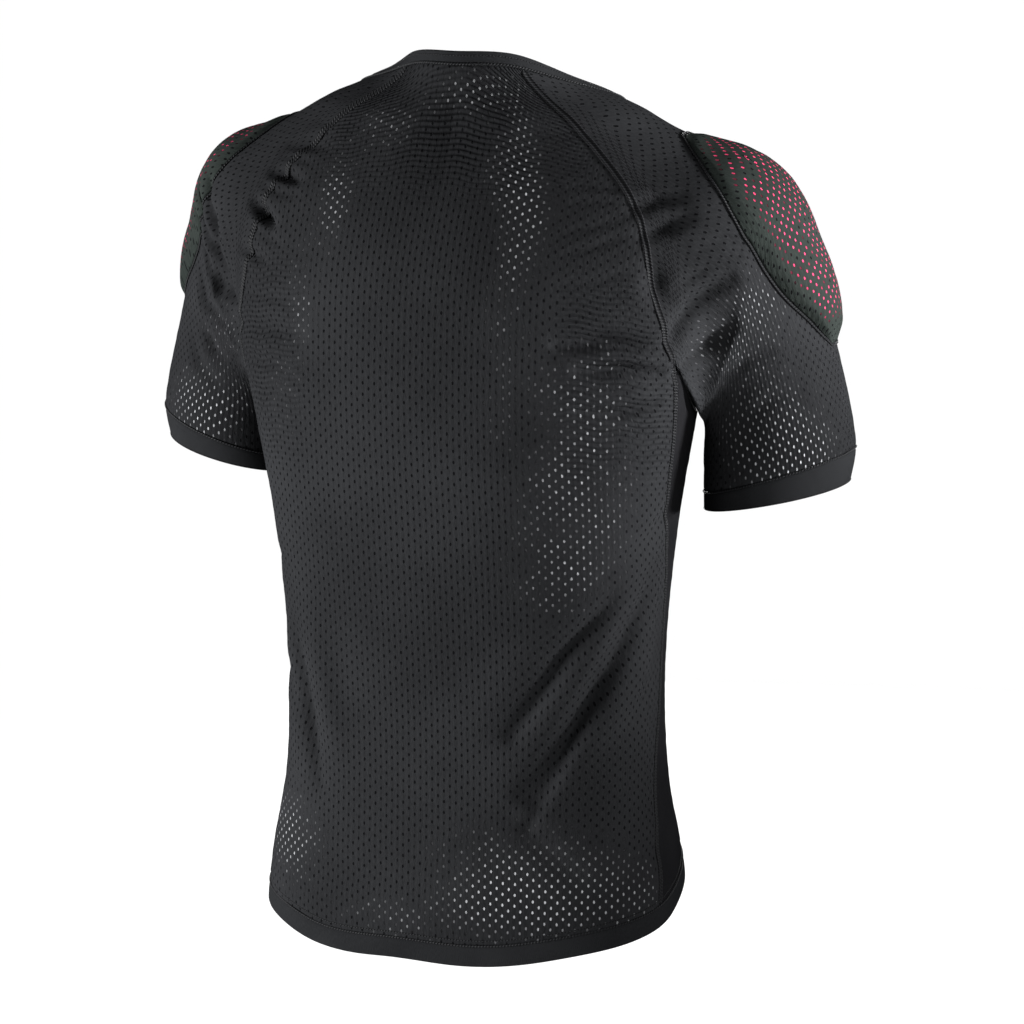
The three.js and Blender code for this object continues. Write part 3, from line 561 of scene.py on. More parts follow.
def make_piece(name, verts, faces, uvs, attributes=None):
    """A smooth mesh object in metres with one UV map, in metres along the cloth, and point attributes."""
    mesh = bpy.data.meshes.new(name)
    mesh.vertices.add(len(verts))
    mesh.vertices.foreach_set("co", (verts / 1000).astype(np.float32).ravel())
    sizes = np.full(len(faces), 4)
    mesh.loops.add(4 * len(faces))
    mesh.loops.foreach_set("vertex_index", faces.astype(np.int32).ravel())
    mesh.polygons.add(len(faces))
    mesh.polygons.foreach_set("loop_start", (np.cumsum(sizes) - 4).astype(np.int32))
    mesh.update(calc_edges=True)
    layer = mesh.uv_layers.new(name="cloth")
    layer.data.foreach_set("uv", (uvs / 1000).astype(np.float32).ravel())
    for key, values in (attributes or {}).items():
        mesh.attributes.new(key, "FLOAT", "POINT").data.foreach_set("value", values.astype(np.float32))
    mesh.validate()
    mesh.polygons.foreach_set("use_smooth", np.full(len(mesh.polygons), True))
    mesh.update()
    piece = bpy.data.objects.new(name, mesh)
    bpy.context.collection.objects.link(piece)
    return piece


def facing_out(verts, faces):
    """The faces, all turned over if the volume that they hold comes out below zero."""
    a, b, c, d = (verts[faces[:, k]] for k in range(4))
    volume = (np.cross(b - a, c - a) * a).sum() + (np.cross(c - a, d - a) * a).sum()
    return faces if volume > 0 else faces[:, ::-1]


def shell(name, outer, inner, uv, wrap=False, attributes=None):
    """Closed sheet: the outer grid, the inner grid under it, and a rim along each open edge.

    uv has one column more than the grid where the grid wraps round.
    """
    rows, cols = outer.shape[:2]
    n = rows * cols
    verts = np.concatenate([outer.reshape(-1, 3), inner.reshape(-1, 3)])
    flat = uv.reshape(-1, 2)
    width = uv.shape[1]
    across = cols if wrap else cols - 1
    i, j = np.meshgrid(np.arange(rows - 1), np.arange(across), indexing="ij")
    i, j = i.ravel(), j.ravel()

    def spot(a, b):
        return a * cols + b % cols

    def place(a, b):
        return a * width + b

    quad = np.stack([spot(i, j), spot(i, j + 1), spot(i + 1, j + 1), spot(i + 1, j)], 1)
    quad_uv = np.stack([place(i, j), place(i, j + 1), place(i + 1, j + 1), place(i + 1, j)], 1)
    faces = [quad, n + quad[:, ::-1]]
    places = [quad_uv, quad_uv[:, ::-1]]
    k = np.arange(across)
    for row, turned in ((0, False), (rows - 1, True)):
        a, b = spot(row, k), spot(row, k + 1)
        rim = np.stack([b, a, n + a, n + b], 1)
        rim_uv = np.stack([place(row, k + 1), place(row, k), place(row, k), place(row, k + 1)], 1)
        faces.append(rim[:, ::-1] if turned else rim)
        places.append(rim_uv[:, ::-1] if turned else rim_uv)
    if not wrap:
        k = np.arange(rows - 1)
        for col, turned in ((0, True), (cols - 1, False)):
            a, b = spot(k, col), spot(k + 1, col)
            rim = np.stack([b, a, n + a, n + b], 1)
            rim_uv = np.stack([place(k + 1, col), place(k, col), place(k, col), place(k + 1, col)], 1)
            faces.append(rim[:, ::-1] if turned else rim)
            places.append(rim_uv[:, ::-1] if turned else rim_uv)
    faces, places = np.concatenate(faces), np.concatenate(places)
    turned = facing_out(verts, faces)
    if turned is not faces:
        places = places[:, ::-1]
    # The two faces of the sheet carry the same values
    both = {key: np.concatenate([v.ravel(), v.ravel()]) for key, v in (attributes or {}).items()}
    return make_piece(name, verts, turned, flat[places].reshape(-1, 2), both)


def strip(name, path, normal, profile, closed=False):
    """A closed outline (across, height) carried along a path that lies on the cloth.

    The outline's ends are drawn together at both ends of an open path.
    """
    if closed:
        along = np.roll(path, -1, 0) - np.roll(path, 1, 0)
    else:
        along = np.gradient(path, axis=0)
    across = unit(np.cross(unit(along), normal))
    lift = unit(np.cross(across, unit(along)))
    lift = lift * np.sign((lift * normal).sum(-1, keepdims=True))
    outline = np.array(profile, float)
    size = np.ones(len(path))
    if not closed:
        size[[0, -1]] = 0.05
        size[[1, -2]] = 0.8
    grid = (path[:, None, :] + across[:, None, :] * (outline[None, :, 0] * size[:, None])[..., None]
            + lift[:, None, :] * (outline[None, :, 1] * size[:, None])[..., None])
    rows, cols = grid.shape[:2]
    step = np.linalg.norm(np.diff(path, axis=0, append=path[:1]), axis=1)
    run = np.concatenate([[0], np.cumsum(step)])
    i, j = np.meshgrid(np.arange(rows if closed else rows - 1), np.arange(cols), indexing="ij")
    i, j = i.ravel(), j.ravel()
    corners = [(i, j), (i, j + 1), (i + 1, j + 1), (i + 1, j)]
    faces = np.stack([(a % rows) * cols + b % cols for a, b in corners], 1)
    u = np.append(outline[:, 0], outline[0, 0])
    uvs = np.stack([np.stack([u[b], run[a]], -1) for a, b in corners], 1)
    if not closed:
        caps = np.arange(1, cols // 2)
        for row in (0, rows - 1):
            low = row * cols
            cap = np.stack([low + caps - 1, low + caps, low + cols - 1 - caps, low + cols - caps], 1)
            faces = np.concatenate([faces, cap[:, ::-1] if row == 0 else cap])
            uvs = np.concatenate([uvs, np.zeros((len(cap), 4, 2))])
    verts = grid.reshape(-1, 3)
    turned = facing_out(verts, faces)
    if turned is not faces:
        uvs = uvs[:, ::-1]
    return make_piece(name, verts, turned, uvs.reshape(-1, 2))


def lengths(grid, axis):
    """Distance run along a grid's rows (axis 1) or columns (axis 0), from its first point."""
    step = np.linalg.norm(np.diff(grid, axis=axis), axis=-1)
    pad = [(0, 0), (0, 0)]
    pad[axis] = (1, 0)
    return np.pad(np.cumsum(step, axis=axis), pad)


def trimmed(grid, first=False, last=False, left=False, right=False):
    """The grid with the named edges moved half a seam gap inwards."""
    g = grid.copy()
    if first:
        g[0] += unit(grid[1] - grid[0]) * GAP / 2
    if last:
        g[-1] += unit(grid[-2] - grid[-1]) * GAP / 2
    if left:
        g[:, 0] += unit(grid[:, 1] - grid[:, 0]) * GAP / 2
    if right:
        g[:, -1] += unit(grid[:, -2] - grid[:, -1]) * GAP / 2
    return g


# Where holes are painted pale as light coming through from the far side: centre, half sizes and strength
LIGHT_THROUGH = table("x y z rx ry rz share",
    (-18, 66, -14, 50, 40, 22, 0.6),
    (-50, 84, -56, 26, 40, 50, 0.7),
    (-64, 92, -100, 26, 40, 56, 0.7),
    (-60, 100, -165, 24, 40, 56, 0.5),
    (-56, 104, -220, 20, 40, 44, 0.35),
    (48, 70, -40, 40, 40, 26, 0.35),
    (78, 90, -90, 20, 40, 60, 0.55),
    (96, 98, -165, 22, 40, 60, 0.45),
    (112, 96, -225, 20, 40, 40, 0.35),
    (-106, 100, -215, 46, 50, 44, 0.5),
    (-104, 98, -275, 60, 50, 60, 0.5),
    (-96, 96, -335, 56, 50, 50, 0.45),
    (-124, 80, -180, 24, 50, 26, 0.3),
    (-60, 100, -590, 70, 50, 30, 0.95),
    (-70, 100, -560, 90, 50, 44, 0.6),
    (-130, 70, -580, 50, 50, 40, 0.6),
    (30, 100, -604, 60, 50, 24, 0.5),
    (122, 78, -560, 44, 60, 50, 0.6),
    (-204, 44, -190, 50, 44, 60, 0.5),
    (-232, 30, -262, 56, 50, 60, 1.0),
    (-214, 20, -150, 30, 40, 40, 0.3),
    (216, 30, -258, 50, 44, 40, 0.8),
    (196, 36, -200, 30, 40, 40, 0.3),
    (50, -90, -120, 80, 40, 90, 0.35),
    (-70, -90, -200, 80, 40, 90, 0.35),
    (0, -90, -550, 120, 50, 50, 0.5))


def light_through(p):
    """Sum of soft round zones, broken up unevenly, from 0 to 1."""
    total = np.zeros(p.shape[:-1])
    for k in range(len(LIGHT_THROUGH["x"])):
        row = {name: column[k] for name, column in LIGHT_THROUGH.items()}
        d = (p - [row["x"], row["y"], row["z"]]) / [row["rx"], row["ry"], row["rz"]]
        total += row["share"] * ease(1.2, 0, np.linalg.norm(d, axis=-1))
    return np.clip(total + 0.35 * total * ripple(p, 45, 21), 0, 1)


# Thickness of the cloth, the places of a band's rows from edge to edge, and each sheet's cut
CLOTH_WALL = 1.2
EDGE_ROWS = np.array([0, 0.02, 0.09, 0.2, 0.5, 0.8, 0.91, 0.98, 1])
panels = {}


def dressed(at, normal):
    """Points of the cloth after its folds, and the normals there."""
    return at + normal * cloth_move(at, normal)[..., None]


def body_panel(name, angle, z, node, edges):
    """A panel of the trunk: its grid on the worn surface, moved by the folds and given a thickness."""
    at, normal = torso_grid(angle, z)
    outer = trimmed(dressed(at, normal), **edges)
    fine = outward(outer, grid_normals(outer, False))
    middle = outer.shape[1] // 2
    run = lengths(at, 1)
    uv = np.stack([run - run[:, middle:middle + 1], z[:1] + lengths(at, 0)], -1)
    attributes = {"light": light_through(at), "ribs": ribbed(at)}
    piece = shell(name, outer, outer - fine * CLOTH_WALL, uv, False, attributes)
    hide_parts(node)
    panels[name] = {"size": run[:, -1].max(), "long": lengths(at, 0)[-1].max(), "area": cut_area(at)}
    return piece


def cut_area(grid, wrap=False):
    """Area of a grid's cells from their two triangles."""
    if wrap:
        grid = np.concatenate([grid, grid[:, :1]], 1)
    a, b, c, d = grid[:-1, :-1], grid[:-1, 1:], grid[1:, 1:], grid[1:, :-1]
    one = np.linalg.norm(np.cross(b - a, c - a), axis=-1)
    two = np.linalg.norm(np.cross(c - a, d - a), axis=-1)
    return (one.sum() + two.sum()) / 2


def band(name, rows_at, rows_normal, wall, node):
    """A folded band: its two faces meet in round edges at its first and last rows."""
    height = lengths(rows_at, 0)[-1].mean()
    share = EDGE_ROWS * height
    r = wall / 2
    edge = np.minimum(share, height - share)
    full = np.sqrt(1 - (1 - np.clip(edge / r, 0, 1)) ** 2)
    full = np.maximum(full, 0.12)[:, None, None]
    core = rows_at - rows_normal * r
    outer = core + rows_normal * r * full
    inner = core - rows_normal * r * full
    ring = np.concatenate([rows_at, rows_at[:, :1]], 1)
    uv = np.stack([lengths(ring, 1), np.concatenate([lengths(rows_at, 0)] * 2, 1)[:, :ring.shape[1]]], -1)
    piece = shell(name, outer, inner, uv, True)
    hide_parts(node)
    panels[name] = {"at": rows_at, "normal": rows_normal, "size": lengths(ring, 1)[:, -1].max(),
                    "long": height, "area": cut_area(rows_at, True)}
    return piece


fine_rows, fine_cols = ((270, 150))
cloth = {}
for word, edge, top, middle, rows, cols in (
        ("back", BACK_EDGE, BACK_TOP_Z, 0, fine_rows, fine_cols),
        ("front", FRONT_EDGE, FRONT_TOP_Z, 180, fine_rows * 5 // 6, fine_cols * 5 // 6)):
    angle, z = panel(edge, top, middle, rows, cols)
    name = f"{word}_cloth"
    cloth[name] = body_panel(name, angle, z, f"{word}_panel", dict(left=True, right=True))

sleeves = {}
for side, sign in SIDES.items():
    angle, z = side_grid(sign, fine_rows * 2 // 3, 30)
    name = f"side_cloth_{side}"
    edges = dict(left=True, right=True, last=True)
    cloth[name] = body_panel(name, angle, z, f"side_panel_{side}", edges)

    hole = armhole(sign)
    _, hole_normal, _, turn = hole
    steps = 105
    # One ring past the sleeve's end gives the last ring its normals
    places = np.append(np.linspace(0, CUFF_FROM, steps), PAST_SLEEVE)
    plain = relaxed(sleeve_grid(side, places, hole), places, turn)
    normal = outward(plain, grid_normals(plain, True))
    share = ease(0, 0.06, places)[:, None, None]
    normal = unit(hole_normal[None] * (1 - share) + normal * share)
    worn = dressed(plain, normal)
    fine = outward(worn, grid_normals(worn, True))
    fine[0] = unit(fine[0] + 2 * hole_normal * ease(-0.92, -0.8, np.cos(np.radians(turn)))[:, None])
    outer = trimmed(worn[:-1], first=True)
    ring = np.concatenate([plain, plain[:, :1]], 1)[:-1]
    run = lengths(ring, 1)
    # The knit runs straight down the arm at the back and at the front
    to_front, to_back = (run[:, [int(np.argmin(np.abs(turn - t)))]] for t in (270, 450))
    front_share = np.clip((450 - np.append(turn, 540)) / 180, 0, 1)[None, :]
    from_back = run - to_back
    from_front = run - to_front - (to_back - to_front).mean()
    around = from_back * (1 - front_share) + from_front * front_share
    up = lengths(ring, 0)
    uv = np.stack([around, up[-1:] - up], -1)
    name = f"sleeve_cloth_{side}"
    attributes = {"light": light_through(plain[:-1]), "ribs": 0 * plain[:-1, :, 0]}
    piece = shell(name, outer, outer - fine[:-1] * CLOTH_WALL, uv, True, attributes)
    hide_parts(f"sleeve_{side}")
    cloth[name] = piece
    # The cut is as wide as the sleeve is round, just below the armpit
    panels[name] = {"size": run[places[:-1] > 0.5, -1].max(), "long": up[-1].max(),
                    "area": cut_area(plain[:-1], True)}
    sleeves[side] = {"outer": worn, "normal": fine, "places": places, "turn": turn}

    cuff_share = CUFF_FROM + GAP / CUFF_BAND * (1 - CUFF_FROM)
    cuff_at = sleeve_grid(side, cuff_share + (1 - cuff_share) * EDGE_ROWS, hole)
    cuff_normal = outward(cuff_at, grid_normals(cuff_at, True))
    name = f"cuff_cloth_{side}"
    cloth[name] = band(name, cuff_at, cuff_normal, BAND_WALL, f"cuff_{side}")

# Bands round the hem and the neck
ring_angle = np.linspace(-180, 180, 241)[:-1]
hem_z = hem_at(ring_angle)[None, :] + (HEM_BAND - GAP) * (1 - EDGE_ROWS)[:, None]
hem_at_rows, hem_normal = torso_grid(np.broadcast_to(ring_angle, hem_z.shape), hem_z)
hem_at_rows = hem_at_rows + hem_normal * (0.5 * np.sin(pi * EDGE_ROWS))[:, None, None]
wave = 0.7 * ripple(hem_at_rows, 55, 12) * EDGE_ROWS[:, None]
hem_at_rows = hem_at_rows + hem_normal * wave[..., None]
cloth["hem_cloth"] = band("hem_cloth", hem_at_rows, hem_normal, BAND_WALL, "hem_band")

neck_angle = np.linspace(-180, 180, 181)[:-1]
neck_line, neck_normal = torso_grid(neck_angle, neck_at(neck_angle))
along = unit(np.roll(neck_line, -1, 0) - np.roll(neck_line, 1, 0))
up = unit(np.cross(along, neck_normal))
up = up * np.sign(up[:, 2:])
neck_rise = unit(up + np.array([0, 0, 0.15]))
neck_out = unit(np.cross(neck_rise, along))
neck_out = neck_out * np.sign((neck_out * neck_normal).sum(-1, keepdims=True))
neck_rows_at = neck_line + neck_rise * (NECK_GAP + NECK_BAND * EDGE_ROWS)[:, None, None]
neck_rows_normal = np.broadcast_to(neck_out, neck_rows_at.shape)
cloth["neck_cloth"] = band("neck_cloth", neck_rows_at, neck_rows_normal, BAND_WALL, "neckband")


# Pockets and pads on the shoulders


def on_sleeve(side, turn, s):
    """Point and normal of the worn sleeve at a turn about the arm and a ring place.

    Between the grid's points, both are the shares of the four corners round them.
    """
    sleeve = sleeves[side]
    turns = np.append(sleeve["turn"], sleeve["turn"][0] + 360)
    places = sleeve["places"]
    turn = (turn - turns[0]) % 360 + turns[0]
    i = np.clip(np.searchsorted(places, s) - 1, 0, len(places) - 2)
    j = np.clip(np.searchsorted(turns, turn) - 1, 0, len(turns) - 2)
    u = ((s - places[i]) / (places[i + 1] - places[i]))[..., None]
    v = ((turn - turns[j]) / (turns[j + 1] - turns[j]))[..., None]
    out = []
    for key in ("outer", "normal"):
        g = sleeve[key]
        k = (j + 1) % g.shape[1]
        low = g[i, j] * (1 - v) + g[i, k] * v
        high = g[i + 1, j] * (1 - v) + g[i + 1, k] * v
        out.append(low * (1 - u) + high * u)
    return out[0], unit(out[1])


def pocket_grid(side, s0, s1, share, rows, cols):
    """Grid over the pocket's outline with how far along (v) and across (w) each point is, and its rise."""
    first, last = POCKET["s"][0], POCKET["s"][-1]
    s = np.linspace(s0, s1, rows + 1)[:, None] + np.zeros((1, cols + 1))
    v = 2 * (s - first) / (last - first) - 1
    w = np.linspace(-share, share, cols + 1)[None, :] + np.zeros((rows + 1, 1))
    at, normal = on_sleeve(side, POCKET_TURN + w * curve(POCKET, "half", s), s)
    dome = (np.clip(1 - v**4, 0, 1) * np.clip(1 - w**4, 0, 1)) ** 0.8
    rise = curve(POCKET, "rise", s) * dome * POCKET_SWELL[side]
    return at, normal, v, w, rise


for side in SIDES:
    # The cover rises from its sewn edge, with uneven ripples and one pinched ridge near its top
    at, normal, v, w, rise = pocket_grid(side, POCKET["s"][0], POCKET["s"][-1], 1, 84, POCKET_COLS)
    edge = np.maximum(np.abs(v), np.abs(w))
    lift = POCKET_EDGE + (CLEAR + POCKET_WALL - POCKET_EDGE) * ease(1, 0.86, edge) + rise
    pull = 0.5 * ripple(at, 30, 31) * ease(1, 0.7, edge)
    ridge = 0.9 * np.exp(-((w - 0.1 * np.sin(3 * v) - 0.12) / 0.06) ** 2)
    ridge = ridge * ease(-1, -0.75, v) * ease(-0.3, -0.6, v)
    outer = at + normal * (lift + pull + ridge)[..., None]
    fine = grid_normals(outer, False)
    fine = fine * np.sign((fine * normal).sum(-1, keepdims=True))
    run = lengths(outer, 1)
    up = lengths(outer, 0)
    uv = np.stack([run - run[:, POCKET_COLS // 2:POCKET_COLS // 2 + 1], -up], -1)
    behind = ease(0.86, 0.7, edge)
    name = f"pocket_cloth_{side}"
    attributes = {"light": 0 * behind, "ribs": 0 * behind, "pad_behind": behind}
    cover = shell(name, outer, outer - fine * POCKET_COVER, uv, False, attributes)
    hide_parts(f"pad_pocket_{side}")
    cloth[name] = cover
    panels[name] = {"outer": outer, "flat": normal, "size": run[:, -1].max(), "long": up[-1].max(),
                    "area": cut_area(outer)}

    at, normal, _, _, rise = pocket_grid(side, PAD["first"], PAD["last"], PAD["share"], PAD_COLS, PAD_COLS)
    top = CLEAR + rise - PAD["below_cover"]
    # The foam is cut into small blocks by shallow grooves, and its edges are rounded
    t = np.linspace(-1, 1, PAD_COLS + 1)
    rounded = np.sqrt(np.clip(1 - np.abs(t) ** 9, 0, 1))
    round_off = np.minimum(rounded[:, None], rounded[None, :])
    thick = np.maximum((top - PAD["under"]) * (0.35 + 0.65 * round_off), PAD_THINNEST)
    groove = np.exp(-(np.sin(t * 4 * pi) / 0.22) ** 2)
    grooves = groove[:, None] + groove[None, :]
    thick = np.maximum(thick - 0.8 * np.minimum(grooves, 1) * round_off, PAD_THINNEST)
    low = at + normal * PAD["under"]
    high = low + normal * thick[..., None]
    uv = np.stack([lengths(at, 1), lengths(at, 0)], -1)
    name = f"shoulder_foam_{side}"
    pad = shell(name, high, low, uv)
    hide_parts(f"shoulder_pad_{side}")
    cloth[name] = pad


# Raised seams: a flat tape with a cord of thread along each edge

SEAM = [(-2.7, -0.5), (-2.7, 0.25), (-2.3, 0.75), (-1.8, 0.95), (-1.3, 0.75), (-0.8, 0.35), (0, 0.28),
        (0.8, 0.35), (1.3, 0.75), (1.8, 0.95), (2.3, 0.75), (2.7, 0.25), (2.7, -0.5), (0, -0.6)]
LINE = [(-0.8, -0.4), (-0.8, 0.15), (-0.45, 0.5), (0, 0.62), (0.45, 0.5), (0.8, 0.15), (0.8, -0.4), (0, -0.5)]
seams = {}


def seam(name, path, normal, profile, owner, closed=False, scale=1.0):
    """A strip along a seam line, kept with the sheet that it is sewn to."""
    outline = [(a * scale, b * scale) for a, b in profile]
    piece = strip(name, path, unit(normal), outline, closed)
    seams.setdefault(owner, []).append(piece)
    return piece


def evened(path, normal, step=1.6, closed=False):
    """The same line with its points at equal distances, and its corners eased."""
    if closed:
        path = np.concatenate([path, path[:1]])
        normal = np.concatenate([normal, normal[:1]])
    run = np.concatenate([[0], np.cumsum(np.linalg.norm(np.diff(path, axis=0), axis=1))])
    count = max(int(run[-1] / step), 8)
    at = np.linspace(0, run[-1], count + 1)
    out = [np.stack([np.interp(at, run, v[:, k]) for k in range(3)], -1) for v in (path, normal)]
    if closed:
        out = [v[:-1] for v in out]
    for _ in range(2):
        for v in out:
            if closed:
                v[:] = (np.roll(v, 1, 0) + 2 * v + np.roll(v, -1, 0)) / 4
            else:
                v[1:-1] = (v[:-2] + 2 * v[1:-1] + v[2:]) / 4
    return out[0], unit(out[1])


def trunk_line(angle, z):
    """Points on the dressed trunk and their normals."""
    at, normal = torso_grid(np.asarray(angle, float), np.asarray(z, float))
    return dressed(at, normal), normal


for side, sign in SIDES.items():
    z = np.linspace(BACK_TOP_Z - 0.6, ARMPIT_Z, 120)
    at, normal = trunk_line(sign * curve(BACK_EDGE, "angle", z), z)
    seam(f"seam_back_sleeve_{side}", *evened(at, normal), SEAM, "back_cloth")
    z = np.linspace(FRONT_TOP_Z - 0.6, ARMPIT_Z, 100)
    at, normal = trunk_line(sign * curve(FRONT_EDGE, "angle", z), z)
    seam(f"seam_front_sleeve_{side}", *evened(at, normal), SEAM, "front_cloth")
    for word, edge in (("back", BACK_EDGE), ("front", FRONT_EDGE)):
        z = np.linspace(ARMPIT_Z - 3, edge_hem(edge, sign) + 0.5, 200)
        at, normal = trunk_line(sign * curve(edge, "angle", z), z)
        seam(f"seam_side_{word}_{side}", *evened(at, normal), SEAM, f"{word}_cloth", scale=0.85)
    w = np.linspace(0.02, 0.98, 80)
    a, b = float(curve(BACK_EDGE, "angle", ARMPIT_Z)), float(curve(FRONT_EDGE, "angle", ARMPIT_Z))
    at, normal = trunk_line(sign * (a + (b - a) * w), ARMPIT_Z + (UNDERARM_Z - ARMPIT_Z) * np.sin(pi * w))
    seam(f"seam_underarm_{side}", *evened(at, normal), SEAM, f"side_cloth_{side}", scale=0.8)

    sleeve = sleeves[side]
    row = len(sleeve["places"]) - 2
    at, normal = evened(sleeve["outer"][row], sleeve["normal"][row], closed=True)
    seam(f"seam_cuff_{side}", at + normal * 0.3, normal, LINE, f"cuff_cloth_{side}", closed=True)
    cuff = panels[f"cuff_cloth_{side}"]
    at = cuff["at"][6] * 0.2 + cuff["at"][7] * 0.8
    at, normal = evened(at, cuff["normal"][7], closed=True)
    seam(f"stitch_cuff_{side}", at, normal, LINE, f"cuff_cloth_{side}", closed=True, scale=0.55)

    grid = panels[f"pocket_cloth_{side}"]["outer"]
    flat = panels[f"pocket_cloth_{side}"]["flat"]
    edge_line = [np.concatenate([g[0, :-1], g[:-1, -1], g[-1, :0:-1], g[:0:-1, 0]]) for g in (grid, flat)]
    at, normal = evened(*edge_line, closed=True)
    seam(f"seam_pocket_{side}", at - normal * 0.4, normal, SEAM, f"pocket_cloth_{side}", closed=True, scale=0.8)

at, normal = evened(neck_line + neck_normal * 0.3 + neck_rise * 0.3, neck_normal, closed=True)
seam("seam_neck", at, normal, LINE, "neck_cloth", closed=True, scale=1.2)
at, normal = evened(neck_rows_at[4] * 0.6 + neck_rows_at[5] * 0.4, neck_out, closed=True)
seam("stitch_neck", at, normal, LINE, "neck_cloth", closed=True, scale=0.5)
hem_line, hem_out = hem_at_rows[0], hem_normal[0]
at, normal = evened(hem_line + hem_out * 0.2, hem_out, closed=True)
seam("seam_hem", at, normal, LINE, "hem_cloth", closed=True)
at, normal = trunk_line(ring_angle, hem_at(ring_angle) + HEM_BAND + 3.5)
at, normal = evened(at, normal, closed=True)
seam("stitch_hem", at, normal, LINE, "hem_cloth", closed=True, scale=0.55)


# Finishes


class Value:
    """A socket in an expression. Each operator adds the Math node that it stands for."""

    def __init__(self, finish, socket):
        self.finish, self.socket = finish, socket

    def math(self, operation, *others):
        sockets = dict(enumerate((self, *others)))
        node = self.finish.node("ShaderNodeMath", {"operation": operation}, sockets)
        return Value(self.finish, node.outputs[0])

    def __add__(self, other):
        return self.math("ADD", other)

    def __sub__(self, other):
        return self.math("SUBTRACT", other)

    def __mul__(self, other):
        return self.math("MULTIPLY", other)

    def __truediv__(self, other):
        return self.math("DIVIDE", other)

    def __rsub__(self, other):
        return self * -1 + other

    __radd__ = __add__
    __rmul__ = __mul__


class Finish:
    """A material whose nodes are added one by one."""

    def __init__(self, name, roughness, specular):
        self.material = bpy.data.materials.new(name)
        self.material.use_nodes = True
        self.tree = self.material.node_tree
        self.tree.nodes.clear()
        self.shader = self.node("ShaderNodeBsdfPrincipled", {}, {
            "Roughness": roughness, "Specular IOR Level": specular})
        self.node("ShaderNodeOutputMaterial", {}, {"Surface": self.shader.outputs[0]})

    def node(self, kind, settings, sockets):
        """Any node: its settings first, then a value or a link for each named socket."""
        node = self.tree.nodes.new(kind)
        for key, value in settings.items():
            setattr(node, key, value)
        for key, value in sockets.items():
            if isinstance(value, Value):
                value = value.socket
            if isinstance(value, bpy.types.NodeSocket):
                self.tree.links.new(value, node.inputs[key])
            else:
                node.inputs[key].default_value = value
        return node

    def give(self, **sockets):
        """Links what varies over the surface to the shader."""
        for key, value in sockets.items():
            name = key.replace("_", " ")
            self.tree.links.new(getattr(value, "socket", value), self.shader.inputs[name])

    def value(self, socket):
        """A socket to calculate with."""
        return Value(self, socket)

    def smooth(self, v, low, high):
        """Smooth step from 0 at low to 1 at high."""
        sockets = {"Value": v, "From Min": low, "From Max": high}
        node = self.node("ShaderNodeMapRange", {"interpolation_type": "SMOOTHSTEP"}, sockets)
        return self.value(node.outputs[0])

    def mix(self, share, a, b):
        """Colour a turned into colour b by a share."""
        sockets = {0: share, 6: a, 7: b}
        return self.node("ShaderNodeMix", {"data_type": "RGBA"}, sockets).outputs[2]

    def noise(self, where, scale, detail=2.0, stretch=(1, 1, 1)):
        """Cloudy noise from 0 to 1, drawn out along an axis by a stretch below 1."""
        scaled = self.node("ShaderNodeMapping", {}, {"Vector": where, "Scale": stretch})
        sockets = {"Vector": scaled.outputs[0], "Scale": scale, "Detail": detail}
        return self.value(self.node("ShaderNodeTexNoise", {}, sockets).outputs[0])

    def objects(self):
        """Place in the piece's own frame."""
        return self.node("ShaderNodeTexCoord", {}, {}).outputs["Object"]

    def cloth_uv(self):
        """Place along the cloth: across, up and both together."""
        node = self.node("ShaderNodeUVMap", {"uv_map": "cloth"}, {})
        split = self.node("ShaderNodeSeparateXYZ", {}, {0: node.outputs[0]})
        return self.value(split.outputs[0]), self.value(split.outputs[1]), node.outputs[0]

    def attribute(self, name):
        """A point attribute of the mesh."""
        node = self.node("ShaderNodeAttribute", {"attribute_name": name}, {})
        return self.value(node.outputs["Fac"])

    def bump(self, height, distance, strength=1.0):
        """Normal of a surface raised by a height."""
        sockets = {"Height": height, "Distance": distance, "Strength": strength}
        return self.node("ShaderNodeBump", {}, sockets).outputs[0]


# Spacing and half size of the mesh's holes, and the pitches of ribs and stitches, in metres
HOLE_PITCH = 0.0090
ROW_PITCH = 0.0040
HOLE_HALF = (0.00075, 0.00115)
MESH_RIB = 0.0045
LEVEL_RIB = 0.0043
SMOOTH_RIB = 0.0014
STITCH_PITCH = 0.0023
# Painted light: colour of the holes where light comes through from the far side
HOLE_LIT = (0.135, 0.137, 0.142, 1)


def hole_lattice(finish):
    """Staggered holes: every other row is set off by half a pitch.

    Gives the holes' mask and a random value for each hole.
    """
    u, v, _ = finish.cloth_uv()
    row = (v / ROW_PITCH).math("FLOOR")
    odd = (row * 0.5).math("FRACT")
    across = u / HOLE_PITCH + odd
    column = across.math("FLOOR")
    dx = (across - column - 0.5) * (HOLE_PITCH / HOLE_HALF[0])
    dy = (v / ROW_PITCH - row - 0.5) * (ROW_PITCH / HOLE_HALF[1])
    mask = 1 - finish.smooth(dx * dx + dy * dy, 0.55, 1.5)
    cell = finish.node("ShaderNodeCombineXYZ", {}, {0: column, 1: row})
    chance = finish.node("ShaderNodeTexWhiteNoise", {"noise_dimensions": "2D"}, {"Vector": cell.outputs[0]})
    return mask, finish.value(chance.outputs["Value"])
